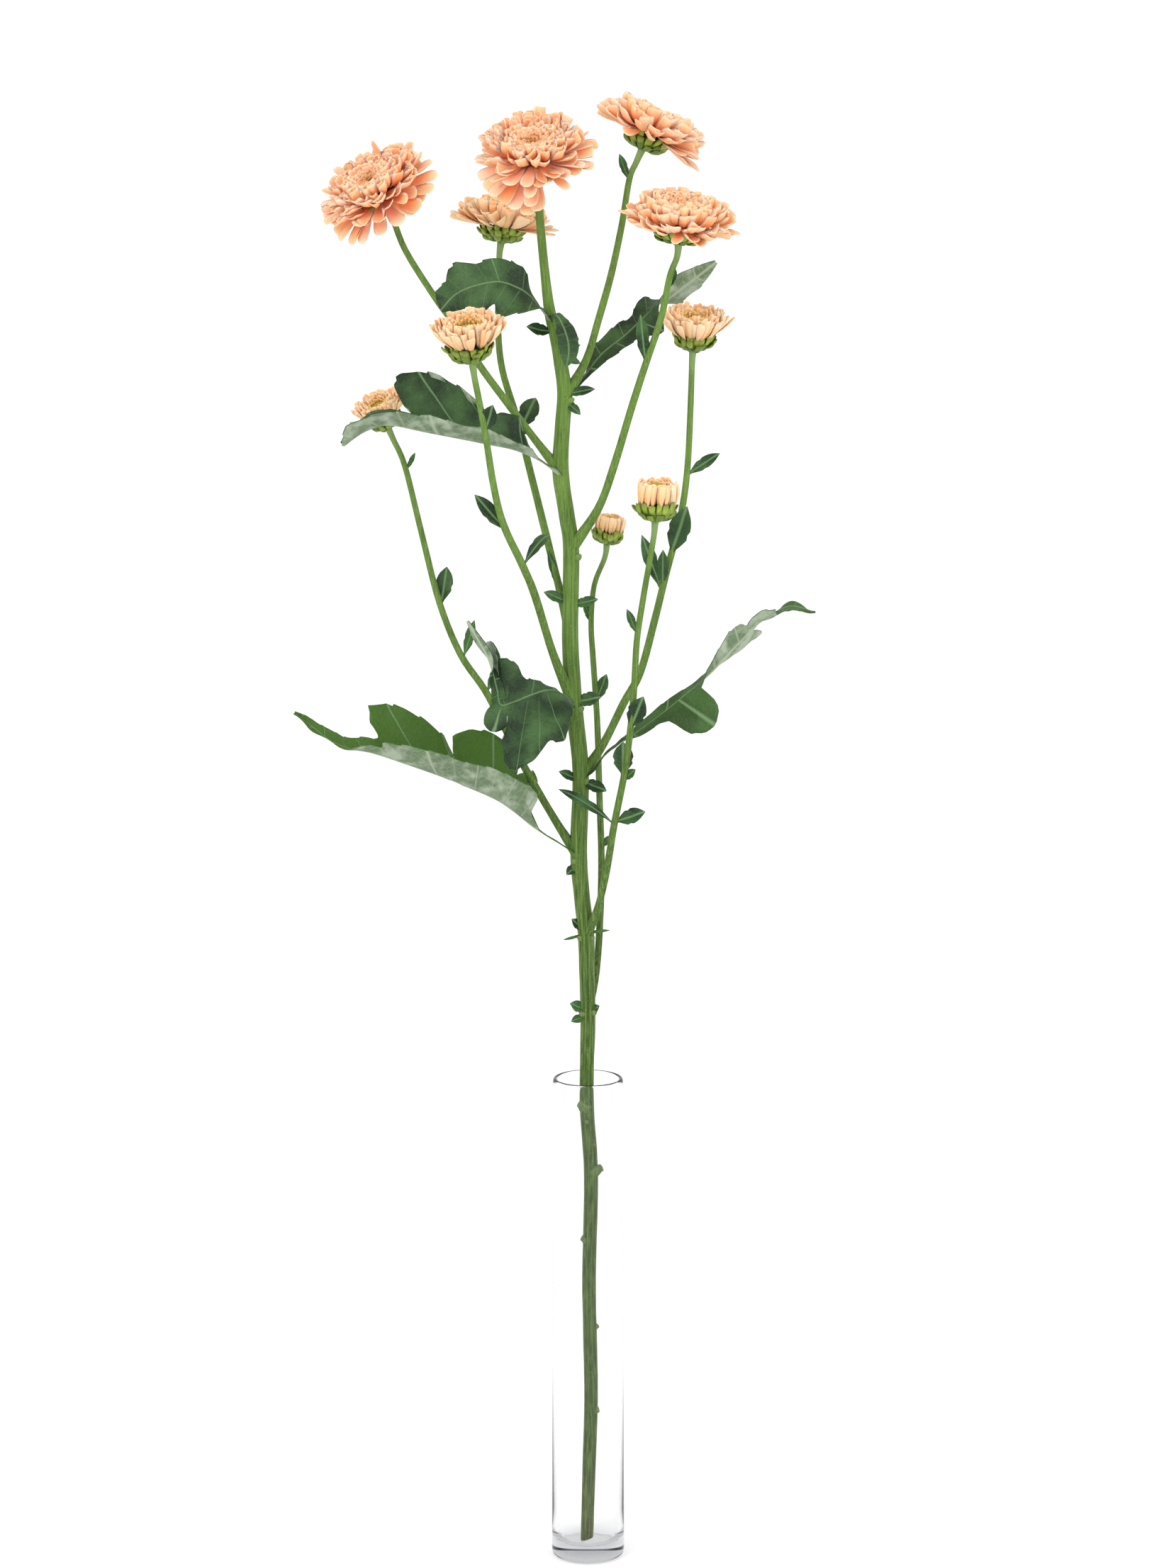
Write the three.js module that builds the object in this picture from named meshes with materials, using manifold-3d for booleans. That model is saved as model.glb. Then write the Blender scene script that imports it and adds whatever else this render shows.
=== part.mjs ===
// A cut spray of chrysanthemums standing in a tall, narrow glass vase.
// Millimetres, +Z up. The origin is the middle of the vase's flat base. Seen from the front,
// looking along +Y, +X is to the right.

import * as THREE from 'three';
import { mergeVertices } from 'three/addons/utils/BufferGeometryUtils.js';
import Module from 'manifold-3d';

const wasm = await Module();
wasm.setup();

// ---------------------------------------------------------------- driving dimensions

const GAP = 0.3; // clearance between pieces that touch
const PETAL_THICKNESS = 0.7;
const LEAFLET_THICKNESS = 0.8;
const LEAF_THICKNESS = 0.8;
const MIDRIB_DEPTH = 1.1; // how far the midrib stands out under a large leaf

const VASE = {
  height: 240,
  baseRadius: 17.8,
  neckRadius: 16.5,
  beadRadius: 16.9,
  wall: 1.8,
  floor: 7.5, // glass under the cut end of the stem
  floorRound: 7, // height of the rounded corner between the floor and the wall
  heel: 3,
  rim: 5, // height of the thickened rim
  sides: 28,
};

// The main stem's centre line from the cut end up to the topmost head, with its radius.
const MAIN_STEM = [
  [-0.5, -6.5, 9.2, 2.9],
  [0.5, -4, 45, 3.1],
  [1.5, -1, 79, 3.2],
  [1, 1, 110, 3.2],
  [0.5, 3, 140, 3.2],
  [1.5, 7, 189, 3.3],
  [-0.5, 9.5, 222, 3.3],
  [-0.5, 11, 244, 3.3],
  [0, 12.5, 265, 3.5],
  [-0.5, 13, 290, 3.6],
  [-1, 13.5, 308, 3.8],
  [-3, 13.5, 327, 3.7],
  [-4.5, 13.5, 349, 3.9],
  [-3.5, 13, 387, 3.8],
  [-6.5, 13, 418, 3.9],
  [-8.5, 12.5, 452, 3.8],
  [-8, 12, 494, 3.7],
  [-10, 11.5, 511, 3.6],
  [-13, 10.5, 533, 3.7],
  [-12, 10, 555, 3.5],
  [-11, 9.5, 570, 3.4],
  [-13, 9, 585, 3.1],
  [-15, 8.5, 596, 2.8],
  [-18, 8, 609, 2.6],
  [-20, 7, 625, 2.1],
  [-22.5, 5, 652, 1.9],
];
const MAIN_SIDES = 8;
const MAIN_RIDGE = 0.06; // share of the radius by which the ribs stand out
const SIDE_SIDES = 6;
const CUT_SLANT = 0.45; // rise of the slanting cut, per millimetre across
const NECK = 7; // length of stem under a head that is in line with the head's axis
const NECK_FLARE = 1.3; // radius where the stem meets the head, per unit of the stem's radius

// Stubs of removed leaves on the part in the vase: height, direction, length, radius.
const STUBS = [
  [228, [-1, -0.5, 0.5], 5, 1.5],
  [191, [1, -0.2, 0.5], 5.6, 1.3],
  [157, [-1, -0.2, 0.6], 4.6, 1.2],
  [113, [1, 0, 0.7], 5, 0.9],
  [73, [1, -0.2, 0.3], 4.2, 1.3],
];
const STUB_FLARE = 1.6; // radius of a stub at its root, per unit of the radius at its end

// Leaflets: height on the stem, direction, length, width, bend in degrees (down is positive).
const MAIN_LEAFLETS = [
  [270, [-1, -0.3, 0.5], 10, 6, 0],
  [268, [-0.9, -0.3, -0.3], 9, 4.5, 0],
  [269, [0.8, -0.3, 0.5], 8, 4.5, -20],
  [309, [-0.8, -0.3, 0.8], 10, 5, 0],
  [308, [-1, -0.2, -0.3], 12, 1.6, -20],
  [308, [0.9, -0.4, 0.3], 12, 1.8, 30],
  [343, [-0.7, -0.4, -0.6], 9, 5, 0],
  [383, [-0.8, -0.4, 0.5], 12, 5, 20],
  [383, [0.9, -0.5, -0.2], 14, 6.5, 20],
  [421, [0.8, -0.4, 0.3], 14, 7.5, 20],
  [469, [-0.9, -0.2, 0.5], 14, 5.5, 20],
  [468, [0.9, -0.3, 0.3], 14, 5.5, 10],
  [557, [0.9, -0.4, 0.5], 15, 5, 40],
  [555, [0.8, -0.6, -0.4], 11, 4.5, 20],
  [603, [-1, -0.2, 0.2], 14, 6.5, -15],
  [602, [1, 0.3, 0.1], 12, 4.5, 10],
];

// Heads. Every length is a share of the head's radius, apart from the calyx, in millimetres.
// The receptacle's rings are [radius, height] from its base up. A row of petals grows between
// two rings: tilt from the axis and bend (down is positive) in degrees, length, width.
const HEAD_KINDS = {
  open: {
    open: true,
    petalsPerRow: 12,
    rings: [[0.28, 0], [0.3, 0.07], [0.27, 0.13], [0.22, 0.18], [0.17, 0.21], [0.12, 0.23]],
    rows: [
      [92, 8, 0.75, 0.3],
      [79, 8, 0.73, 0.28],
      [63, 2, 0.63, 0.25],
      [45, -6, 0.5, 0.2],
      [24, -14, 0.34, 0.11],
    ],
    disc: { radius: 0.1, height: 0.16 },
  },
  incurved: {
    open: true,
    petalsPerRow: 12,
    rings: [[0.3, 0], [0.33, 0.07], [0.28, 0.13], [0.22, 0.17], [0.17, 0.2], [0.12, 0.22]],
    rows: [
      [92, -10, 0.7, 0.3],
      [77, -20, 0.65, 0.28],
      [60, -26, 0.56, 0.24],
      [42, -24, 0.44, 0.19],
      [22, -16, 0.3, 0.1],
    ],
    disc: { radius: 0.1, height: 0.14 },
  },
  rising: {
    open: true,
    petalsPerRow: 12,
    rings: [[0.32, 0], [0.34, 0.07], [0.28, 0.13], [0.2, 0.17], [0.14, 0.19]],
    rows: [
      [82, -6, 0.7, 0.27],
      [66, -12, 0.66, 0.25],
      [48, -14, 0.55, 0.21],
      [26, -12, 0.4, 0.12],
    ],
    disc: { radius: 0.11, height: 0.16 },
  },
  half_open: {
    open: false,
    petalsPerRow: 11,
    rings: [[0.5, 0], [0.45, 0.08], [0.37, 0.13], [0.28, 0.16]],
    rows: [
      [42, -4, 0.72, 0.27],
      [31, -8, 0.62, 0.21],
      [18, -8, 0.48, 0.15],
    ],
    disc: { radius: 0.23, height: 0.4 },
  },
  bud: {
    open: false,
    petalsPerRow: 10,
    rings: [[0.84, 0], [0.76, 0.1], [0.6, 0.16]],
    rows: [
      [9, -10, 0.84, 0.42],
      [2, -10, 0.78, 0.34],
    ],
    disc: { radius: 0.46, height: 0.6 },
  },
};
const RING_TWIST = 0.05; // turn of each ring of the receptacle from the one below, in radians
const PETAL_SWAY = 3; // irregularity of the petals' tilt, in degrees
const PETAL_UNEVENNESS = 0.05; // irregularity of the petals' length, as a share of it

// Sections of petals and leaflets: share of the length, share of the width.
const OUTER_PETAL = [[0.38, 0.85], [0.8, 1], [1, 0.5]];
const INNER_PETAL = [[0.62, 1], [1, 0.5]];
const LEAFLET = [[0, 0.4], [0.55, 1], [1, 0.14]];

// Levels of a disc and a calyx from base to top: share of the radius, share of the height.
const DISC_LEVELS = [[0.96, 0], [1, 0.45], [0.78, 0.8], [0.36, 1]];
const CALYX_LEVELS = [[0.72, 0.12], [1, 0.5], [0.94, 1]];
const DISC_KNOBS = 6;
const DISC_KNOB_DEPTH = 0.18; // share of the radius between the knobs and the dents
const CALYX_BRACTS = 8;
const CALYX_LOBE = 0.05; // share of the radius by which the bracts stand out

// Side stems from the lowest joint to the highest: centre line, radius at the joint and under
// the head, leaflets as on the main stem, and the head: the place and axis of its calyx.
const SIDE_STEMS = [
  {
    name: '1',
    line: [[-1, 13, 268], [4, 20, 288], [6, 27, 317], [6.5, 32, 342], [5.5, 36, 372],
      [4.5, 39, 406], [2.5, 41, 437], [1.5, 42, 455], [3, 43, 473]],
    radii: [1.9, 1.3],
    leaflets: [[346, [0.6, 0, 0.8], 8, 3, 0], [416, [0.3, 0, 1], 17, 5.5, 10],
      [454, [-0.3, 0.2, 1], 12, 3.5, 0]],
    head: { kind: 'bud', base: [9, 43, 493], axis: [0.15, -0.05, 1], radius: 8.4, calyx: [7, 6] },
  },
  {
    name: '2',
    line: [[-1, 13, 307], [4.5, 8, 321], [9, 2, 342], [12.5, -3, 365], [18, -8, 395],
      [21.5, -11, 428], [23, -13, 455], [26, -14, 476], [29.5, -15, 497]],
    radii: [1.9, 1.4],
    leaflets: [[366, [1, -0.3, 0.45], 16, 8, 10], [365, [-0.8, -0.3, 0.8], 32, 5, 70],
      [388, [0, 0.5, 1], 18, 10, 0], [387, [0.7, -0.3, 0.7], 9, 4.5, 0],
      [412, [0.35, -0.4, 1], 19, 9.5, 10], [458, [-0.4, -0.1, 1], 14, 4, 0]],
    head: { kind: 'bud', base: [31.5, -16, 513], axis: [0.08, -0.1, 1], radius: 11.6,
      calyx: [9, 8] },
  },
  {
    name: '3',
    line: [[-4.5, 13.5, 346], [-15.5, 15, 363], [-31, 17, 390], [-41, 19, 410],
      [-49.5, 21, 426], [-61, 22, 443], [-71, 23, 468], [-79.5, 24, 502], [-87, 25, 533]],
    radii: [2, 1.4],
    leaflets: [[424, [0.35, 0, 1], 16, 4, 20], [441, [0.3, -0.2, 1], 21, 5, -8],
      [466, [0.15, 0.5, 1], 20, 8.5, 0], [531, [0.5, -0.1, 1], 10, 2.5, 0]],
    head: { kind: 'half_open', base: [-95, 24, 552], axis: [-0.35, -0.3, 0.88], radius: 14.5,
      calyx: [7.4, 6] },
  },
  {
    name: '4',
    line: [[-4, 13, 384], [7.5, 15, 401], [17, 17, 420], [25, 18, 435], [31.5, 18, 459],
      [37, 17, 482], [43.5, 16, 508], [47, 15, 532], [48.5, 14, 564]],
    radii: [2.1, 1.5],
    leaflets: [[474, [-0.35, 0, 1], 29, 7, 0], [476, [0, -0.4, 1], 21, 6, 0],
      [491, [0.3, -0.3, 1], 27, 11, 5], [530, [1, -0.2, 0.8], 19, 6, 20]],
    head: { kind: 'half_open', base: [49.5, 14, 590], axis: [0.06, -0.2, 1], radius: 18.5,
      calyx: [8.8, 7] },
  },
  {
    name: '5',
    line: [[-7, 13, 421], [-16.5, 4, 446], [-25, -7, 476], [-30.5, -14, 491],
      [-39.5, -22, 512], [-44, -27, 531], [-48, -32, 558], [-52, -36, 580]],
    radii: [2.1, 1.5],
    leaflets: [[491, [0.5, -0.1, 1], 22, 6, 110], [508, [-0.75, -0.2, 0.8], 25, 7, 15],
      [557, [0.3, -0.3, 1], 15, 8, -10]],
    head: { kind: 'half_open', base: [-53.5, -39, 591], axis: [-0.12, -0.25, 1], radius: 20,
      calyx: [9.8, 8] },
  },
  {
    name: '6',
    line: [[-8.5, 12.5, 456], [-14, 18, 477], [-21, 27, 504], [-28, 35, 531], [-34, 41, 554],
      [-41, 46, 577], [-43, 50, 597], [-42.5, 53, 617]],
    radii: [2, 1.5],
    leaflets: [[473, [-0.3, 0.2, 1], 22, 4, 0], [548, [0.4, 0, 1], 18, 10, 40]],
    head: { kind: 'rising', base: [-41.5, 55, 637], axis: [0.12, 0, 1], radius: 24.5,
      calyx: [9.4, 7] },
  },
  {
    name: '7',
    line: [[-9, 12, 494], [4.5, 6, 515], [12, 0, 536], [21, -6, 567], [27.5, -11, 588],
      [34, -15, 608], [38, -18, 628]],
    radii: [2.1, 1.5],
    leaflets: [[586, [-0.1, -0.3, 1], 25, 6.5, 5], [621, [0.4, 0.4, 1], 12, 4.5, 0]],
    head: { kind: 'incurved', base: [42, -20, 644], axis: [0.1, -0.2, 1], radius: 26.5,
      calyx: [9.8, 7.5] },
  },
  {
    name: '8',
    line: [[-12.5, 10.5, 532], [-23.5, 10, 546], [-38.5, 10, 566], [-51.5, 9, 584],
      [-61.5, 8, 601], [-70.5, 6, 616], [-83, 4, 638]],
    radii: [2, 1.5],
    leaflets: [[551, [-1, -0.4, 0.1], 10, 2.5, 0]],
    head: { kind: 'open', base: [-91.5, 0, 661], axis: [-0.32, -0.5, 0.8], radius: 27.5,
      calyx: [9.8, 7] },
  },
  {
    name: '9',
    line: [[-11, 9, 568], [-1, 14, 585], [5, 19, 604], [11, 23, 625], [16, 27, 648],
      [19.5, 30, 669]],
    radii: [2, 1.5],
    leaflets: [[668, [-0.35, -0.1, 1], 14, 4, 0]],
    head: { kind: 'open', base: [25, 32, 684], axis: [0.35, 0.15, 0.93], radius: 27,
      calyx: [9.6, 7] },
  },
];
const TOP_HEAD = { kind: 'open', base: [-24, 2, 675], axis: [-0.04, -0.55, 0.83], radius: 30,
  calyx: [9.8, 7] };

// Large leaves. The spine runs from the joint along the stalk and the midrib; each point is a
// place and the direction the upper face looks in. Outline rows: share of the spine, width and
// upward fold in degrees of the left half, width and fold of the right half, from base to tip.
// The sweep is how far the lobes lean to the tip, per unit of width.
const LARGE_LEAVES = [
  {
    name: '1',
    joint: '3',
    sweep: 0.7,
    spine: [
      [-5, 11, 348, 0, 0, 1], [-23.5, 8, 360, 0, 0, 1], [-41, 6, 374, 0, 0, 1],
      [-59, 3, 383, 0, 0, 1], [-75, 0, 390, 0, -0.1, 1], [-101, -5, 400, 0, -0.1, 1],
      [-119, -8, 405, 0, -0.4, 1], [-139, -9, 420, 0, -0.6, 0.8],
    ],
    outline: [
      [0, 1.2, 0, 1.2, 0], [0.12, 1.2, 20, 1.2, 20], [0.14, 11, 44, 12, 60],
      [0.165, 16, 46, 30, 62], [0.21, 18, 46, 33, 62], [0.27, 18, 46, 32, 62],
      [0.33, 17, 44, 28, 62], [0.375, 16, 44, 21, 62], [0.4, 15, 42, 14, 62],
      [0.44, 15, 42, 21, 62], [0.51, 14, 42, 25, 61], [0.58, 12, 42, 26, 60],
      [0.65, 10, 40, 23, 58], [0.69, 8, 40, 15, 52], [0.72, 7, 38, 7, 45],
      [0.8, 7, 36, 7, 38], [0.87, 5, 32, 6, 30], [0.93, 3, 25, 4, 25], [1, 0.8, 20, 0.8, 20],
    ],
  },
  {
    name: '2',
    joint: '5',
    sweep: 0.1,
    spine: [
      [-6, 12, 419, 0, -0.2, 1], [-12.5, 0, 428, 0, -0.5, 1], [-18.5, -8, 431, 0, -0.8, 0.7],
      [-26, -16, 430.5, -0.1, -1, 0.3], [-34.5, -22, 428, -0.1, -1, 0.2],
      [-41, -27, 427.5, 0, -1, 0.2], [-43, -29, 436, 0.1, -1, 0],
      [-47, -27, 450, 0.1, -1, 0], [-56.5, -20, 466, 0.3, -1, 0],
    ],
    outline: [
      [0, 1.3, 0, 1.3, 0], [0.13, 2, 0, 1.5, 0], [0.18, 15, 0, 3, 0],
      [0.23, 20, 0, 4, 5], [0.28, 27, 0, 6, 10], [0.34, 33, 0, 10, 10],
      [0.39, 28, 4, 18, 8], [0.45, 33, 4, 20, 8], [0.52, 31, 6, 16, 8],
      [0.57, 23, 8, 17, 8], [0.6, 6, 10, 18, 8], [0.66, 14, 14, 16, 8],
      [0.7, 17, 14, 12, 8], [0.74, 5, 10, 11, 8], [0.8, 3, 10, 14, 8],
      [0.86, 3, 20, 11, 10], [0.9, 3.4, 35, 3.4, 35], [1, 0.7, 30, 0.7, 30],
    ],
  },
  {
    name: '3',
    joint: '8',
    sweep: 0.5,
    spine: [
      [-13, 8, 531, 0, 0, 1], [-22, 1, 539, 0, 0, 1], [-34, -3, 545, 0, -0.1, 1],
      [-50, -7, 549, 0, -0.1, 1], [-73.5, -10, 556, 0, -0.1, 1],
      [-93, -12, 564, -0.1, -0.2, 1], [-104.5, -12, 563, -0.3, -0.2, 1],
      [-114.5, -11, 554, -0.6, -0.3, 0.8],
    ],
    outline: [
      [0, 1.3, 0, 1.3, 0], [0.16, 1.3, 10, 1.3, 10], [0.22, 7, 30, 7, 50],
      [0.27, 9, 38, 20, 60], [0.33, 9, 42, 27, 62], [0.38, 10, 45, 31, 63],
      [0.44, 12, 46, 31, 63], [0.5, 14, 46, 28, 62], [0.55, 14, 46, 19, 58],
      [0.59, 12, 45, 9, 50], [0.66, 13, 45, 8, 40], [0.75, 15, 42, 9, 30],
      [0.84, 13, 40, 8, 26], [0.92, 9, 36, 7, 20], [1, 1.2, 20, 3, 20],
    ],
  },
  {
    name: '4',
    joint: 'top',
    sweep: 0.4,
    spine: [
      [-17, 8, 603, 0, -0.3, 1], [-22, 1.5, 611, 0, -0.5, 1], [-27.5, -5, 618, 0.1, -0.8, 0.7],
      [-33, -9, 622, 0.1, -0.9, 0.6], [-42, -12, 625, 0, -0.9, 0.6],
      [-53.5, -13, 623, -0.1, -0.9, 0.5], [-62, -13, 619, -0.3, -0.9, 0.4],
      [-68.5, -12, 612, -0.5, -0.9, 0.2],
    ],
    outline: [
      [0, 1.6, 0, 1.6, 0], [0.16, 2.6, 0, 2.6, 0], [0.26, 8, 0, 5, 10],
      [0.34, 15, -4, 9, 14], [0.4, 15, -6, 12, 18], [0.46, 10, -6, 12, 20],
      [0.52, 13, -6, 9, 16], [0.6, 14, -8, 10, 10], [0.7, 12, -10, 14, 4],
      [0.76, 8, -10, 13, 0], [0.82, 8, -10, 8, 0], [0.9, 6, -10, 9, 0],
      [0.95, 4, -10, 5, 0], [1, 1.2, 0, 1.2, 0],
    ],
  },
  {
    name: '5',
    joint: 'top',
    sweep: 0,
    spine: [
      [-15, 6, 608, 0, -0.4, 1], [-12.5, 0, 612, 0.2, -0.8, 0.7],
      [-9.5, -3, 607, 0.4, -1, 0.3], [-8, -3.5, 600, 0.5, -1, 0.1],
      [-8.5, -3.5, 594, 0.5, -1, -0.1], [-10.5, -3, 589, 0.4, -1, -0.2],
    ],
    outline: [
      [0, 1.6, 0, 1.6, 0], [0.28, 2.6, 0, 2.2, 0], [0.45, 4.6, -8, 4.2, 0],
      [0.62, 5.4, -10, 5, 0], [0.8, 4.6, -10, 4.4, 0], [0.92, 2.6, 0, 2.6, 0],
      [1, 0.9, 0, 0.9, 0],
    ],
  },
  {
    name: '6',
    joint: '4',
    sweep: 0.5,
    spine: [
      [-2, 12, 385, -0.4, 0, 1], [10.5, 8, 399, -0.5, -0.1, 0.9],
      [22.5, 4, 408, -0.5, -0.2, 0.9], [41, 0, 423, -0.5, -0.2, 0.8],
      [59, -1, 439, -0.6, 0, 0.8], [71, 0, 452, -0.7, 0.1, 0.7], [82.5, 1, 463, -0.5, -0.2, 0.8],
      [95, 2, 469.5, -0.1, -0.4, 1], [107.5, 3, 467, 0.3, -0.4, 1],
    ],
    outline: [
      [0, 1.3, 0, 1.3, 0], [0.18, 1.5, 10, 1.5, 0], [0.22, 5, 20, 10, -30],
      [0.26, 6, 20, 18, -42], [0.31, 6, 20, 22, -45], [0.35, 5, 20, 19, -45],
      [0.38, 4, 30, 11, -35], [0.42, 4, 40, 5, -10], [0.48, 7, 55, 6, 20],
      [0.54, 13, 62, 8, 40], [0.6, 14, 62, 9, 55], [0.65, 9, 50, 8, 55],
      [0.7, 3.5, 30, 3.5, 40], [0.76, 3.5, 10, 6, 10], [0.82, 4.5, 0, 6, -15],
      [0.87, 4, 0, 3, -10], [0.93, 3, 0, 4, 0], [1, 0.8, 0, 0.8, 0],
    ],
  },
  {
    name: '7',
    joint: '9',
    sweep: 0.4,
    spine: [
      [-10, 10, 567, -0.3, -0.5, 0.8], [-1, 20, 578, -0.4, -0.8, 0.5],
      [7, 27, 587, -0.4, -0.9, 0.3], [17, 32, 594.5, -0.4, -0.9, 0.3],
      [25.5, 36, 602, -0.5, -0.7, 0.6], [32, 38, 608, -0.5, 0.2, 0.9],
      [41, 39, 614, -0.4, 0.8, 0.6], [60.5, 39, 629, -0.4, 0.9, 0.4],
    ],
    outline: [
      [0, 1.3, 0, 1.3, 0], [0.18, 1.6, 0, 1.6, 0], [0.25, 5, 0, 5, 0],
      [0.33, 9, 0, 10, 0], [0.39, 12, 6, 13, 0], [0.45, 10, 14, 11, 4],
      [0.5, 7, 20, 15, 10], [0.56, 9, 20, 12, 14], [0.63, 11, 10, 9, 10],
      [0.71, 12, 5, 9, 5], [0.8, 11, 5, 9, 5], [0.9, 7, 5, 7, 5], [1, 1.5, 0, 1.5, 0],
    ],
  },
];

// ---------------------------------------------------------------- colours and finishes

const finish = (color, roughness, extra) =>
  new THREE.MeshStandardMaterial({ color, roughness, metalness: 0, ...extra });
const FINISHES = {
  glass: () => finish(0xdfe9ea, 0.05, { transparent: true, opacity: 0.35 }),
  stem: () => finish(0x5f9641, 0.6),
  leaf: () => finish(0x33603f, 0.6),
  calyx: () => finish(0x568a2c, 0.6),
  petals: () => finish(0xf2ae80, 0.7),
  youngPetals: () => finish(0xf4c48e, 0.7),
  disc: () => finish(0xb08c42, 0.8),
  youngDisc: () => finish(0xcfc255, 0.8),
};

// ---------------------------------------------------------------- solids

const { degToRad, lerp } = THREE.MathUtils;
const vec = ([x, y, z]) => new THREE.Vector3(x, y, z);
const UP = new THREE.Vector3(0, 0, 1);
const BACK = new THREE.Vector3(0, 1, 0);
const LEAFLET_FACE = new THREE.Vector3(0, -0.85, 0.5);

// A closed geometry as a solid that can be joined and cut.
function solidOf(geometry) {
  const bare = geometry.clone();
  bare.deleteAttribute('normal');
  bare.deleteAttribute('uv');
  const welded = mergeVertices(bare, 1e-4);
  return new wasm.Manifold(new wasm.Mesh({
    numProp: 3,
    vertProperties: welded.attributes.position.array,
    triVerts: new Uint32Array(welded.index.array),
  }));
}

function geometryOf(solid) {
  const { vertProperties, triVerts } = solid.getMesh();
  const geometry = new THREE.BufferGeometry();
  geometry.setAttribute('position', new THREE.BufferAttribute(vertProperties, 3));
  geometry.setIndex(new THREE.BufferAttribute(triVerts, 1));
  geometry.computeVertexNormals();
  return geometry;
}

const joined = (solids) => solids.reduce((whole, solid) => whole.add(solid));

// The largest of the pieces that a cut leaves.
function mainPiece(solid) {
  return solid.decompose().reduce((largest, piece) =>
    (piece.volume() > largest.volume() ? piece : largest));
}

function indexedGeometry(points, index) {
  const geometry = new THREE.BufferGeometry();
  const positions = points.flatMap((point) => point.toArray());
  geometry.setAttribute('position', new THREE.Float32BufferAttribute(positions, 3));
  geometry.setIndex(index);
  return geometry;
}

// A closed body through rings of points that run anticlockwise seen from the far end.
function loft(rings) {
  const sides = rings[0].length;
  const index = [];
  for (let ring = 0; ring + 1 < rings.length; ring++) {
    for (let side = 0; side < sides; side++) {
      const here = ring * sides + side;
      const next = ring * sides + ((side + 1) % sides);
      index.push(here, next, next + sides, here, next + sides, here + sides);
    }
  }
  const last = (rings.length - 1) * sides;
  for (let side = 1; side + 1 < sides; side++) {
    index.push(0, side + 1, side, last, last + side, last + side + 1);
  }
  return indexedGeometry(rings.flat(), index);
}

// A thin closed body between two grids of points, its face and its back, both split into
// triangles alike. Rows run from root to tip and a row's points run from left to right.
function slab(face, back) {
  const rows = face.length;
  const columns = face[0].length;
  const backStart = rows * columns;
  const at = (row, column) => row * columns + column;
  const index = [];
  for (let row = 0; row + 1 < rows; row++) {
    for (let column = 0; column + 1 < columns; column++) {
      const [a, b, c, d] = [at(row, column), at(row, column + 1), at(row + 1, column),
        at(row + 1, column + 1)];
      index.push(a, b, d, a, d, c);
      index.push(backStart + a, backStart + d, backStart + b);
      index.push(backStart + a, backStart + c, backStart + d);
    }
  }
  // Walls between face and back, along a line of grid points that has the body on its left.
  const wall = (from, to) => {
    index.push(from, backStart + from, backStart + to, from, backStart + to, to);
  };
  for (let row = 0; row + 1 < rows; row++) {
    wall(at(row + 1, 0), at(row, 0));
    wall(at(row, columns - 1), at(row + 1, columns - 1));
  }
  for (let column = 0; column + 1 < columns; column++) {
    wall(at(0, column), at(0, column + 1));
    wall(at(rows - 1, column + 1), at(rows - 1, column));
  }
  return indexedGeometry([...face.flat(), ...back.flat()], index);
}

// ---------------------------------------------------------------- stems

function curveThrough(points) {
  return new THREE.CatmullRomCurve3(points.map(vec), false, 'centripetal');
}

// A ring round a stem's centre line, in the plane across `tangent`. Every second point of a
// ribbed stem stands out by `ridge` of the radius.
function stemRing(centre, tangent, radius, sides, ridge) {
  const first = BACK.clone().addScaledVector(tangent, -BACK.dot(tangent)).normalize();
  const second = new THREE.Vector3().crossVectors(tangent, first);
  return Array.from({ length: sides }, (_, side) => {
    const angle = (2 * Math.PI * side) / sides;
    const reach = radius * (1 + (side % 2 ? ridge : 0));
    return centre.clone()
      .addScaledVector(first, reach * Math.cos(angle))
      .addScaledVector(second, reach * Math.sin(angle));
  });
}

// The rings of a stem through points [x, y, z, radius], `grown` millimetres thicker all round.
function stemRings(points, sides, ridge, grown = 0) {
  const curve = curveThrough(points);
  return points.map((point, place) => {
    const tangent = curve.getTangent(place / (points.length - 1));
    return stemRing(vec(point), tangent, point[3] + grown, sides, ridge);
  });
}

// The point of a rising centre line at a height, between its listed points.
function pointAtHeight(points, height) {
  const upper = Math.max(1, points.findIndex((point) => point[2] >= height));
  const [low, high] = [vec(points[upper - 1]), vec(points[upper])];
  return low.lerp(high, (height - low.z) / (high.z - low.z));
}

// The four corners of a strip's section at a share of its length. The strip leaves `root` along
// `heading` with its upper face to `face`, and bends to its back by `bend` degrees in all.
function stripSection({ root, heading, face, length, bend }, share, width, thickness) {
  const side = new THREE.Vector3().crossVectors(heading, face).normalize();
  const turn = -degToRad(bend) * share;
  const chord = heading.clone().applyAxisAngle(side, turn / 2);
  const middle = root.clone().addScaledVector(chord, length * share);
  const normal = face.clone().applyAxisAngle(side, turn);
  return [[1, -1], [-1, -1], [-1, 1], [1, 1]].map(([across, up]) => middle.clone()
    .addScaledVector(side, (across * width) / 2)
    .addScaledVector(normal, (up * thickness) / 2));
}

// Leaflets on a stem, from its centre line out. They show their faces to the front.
function leaflets(points, rows) {
  return rows.map(([height, direction, length, width, bend]) => {
    const heading = vec(direction).normalize();
    const face = LEAFLET_FACE.clone().addScaledVector(heading, -LEAFLET_FACE.dot(heading));
    const strip = { root: pointAtHeight(points, height), heading, face: face.normalize(), length, bend };
    const rings = LEAFLET.map(([share, breadth]) =>
      stripSection(strip, share, breadth * width, LEAFLET_THICKNESS));
    return solidOf(loft(rings));
  });
}

function stubs(points) {
  return STUBS.map(([height, direction, length, radius]) => {
    const heading = vec(direction).normalize();
    const root = pointAtHeight(points, height);
    const end = root.clone().addScaledVector(heading, length);
    return solidOf(loft([
      stemRing(root, heading, radius * STUB_FLARE, SIDE_SIDES, 0),
      stemRing(end, heading, radius, SIDE_SIDES, 0),
    ]));
  });
}

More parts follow.
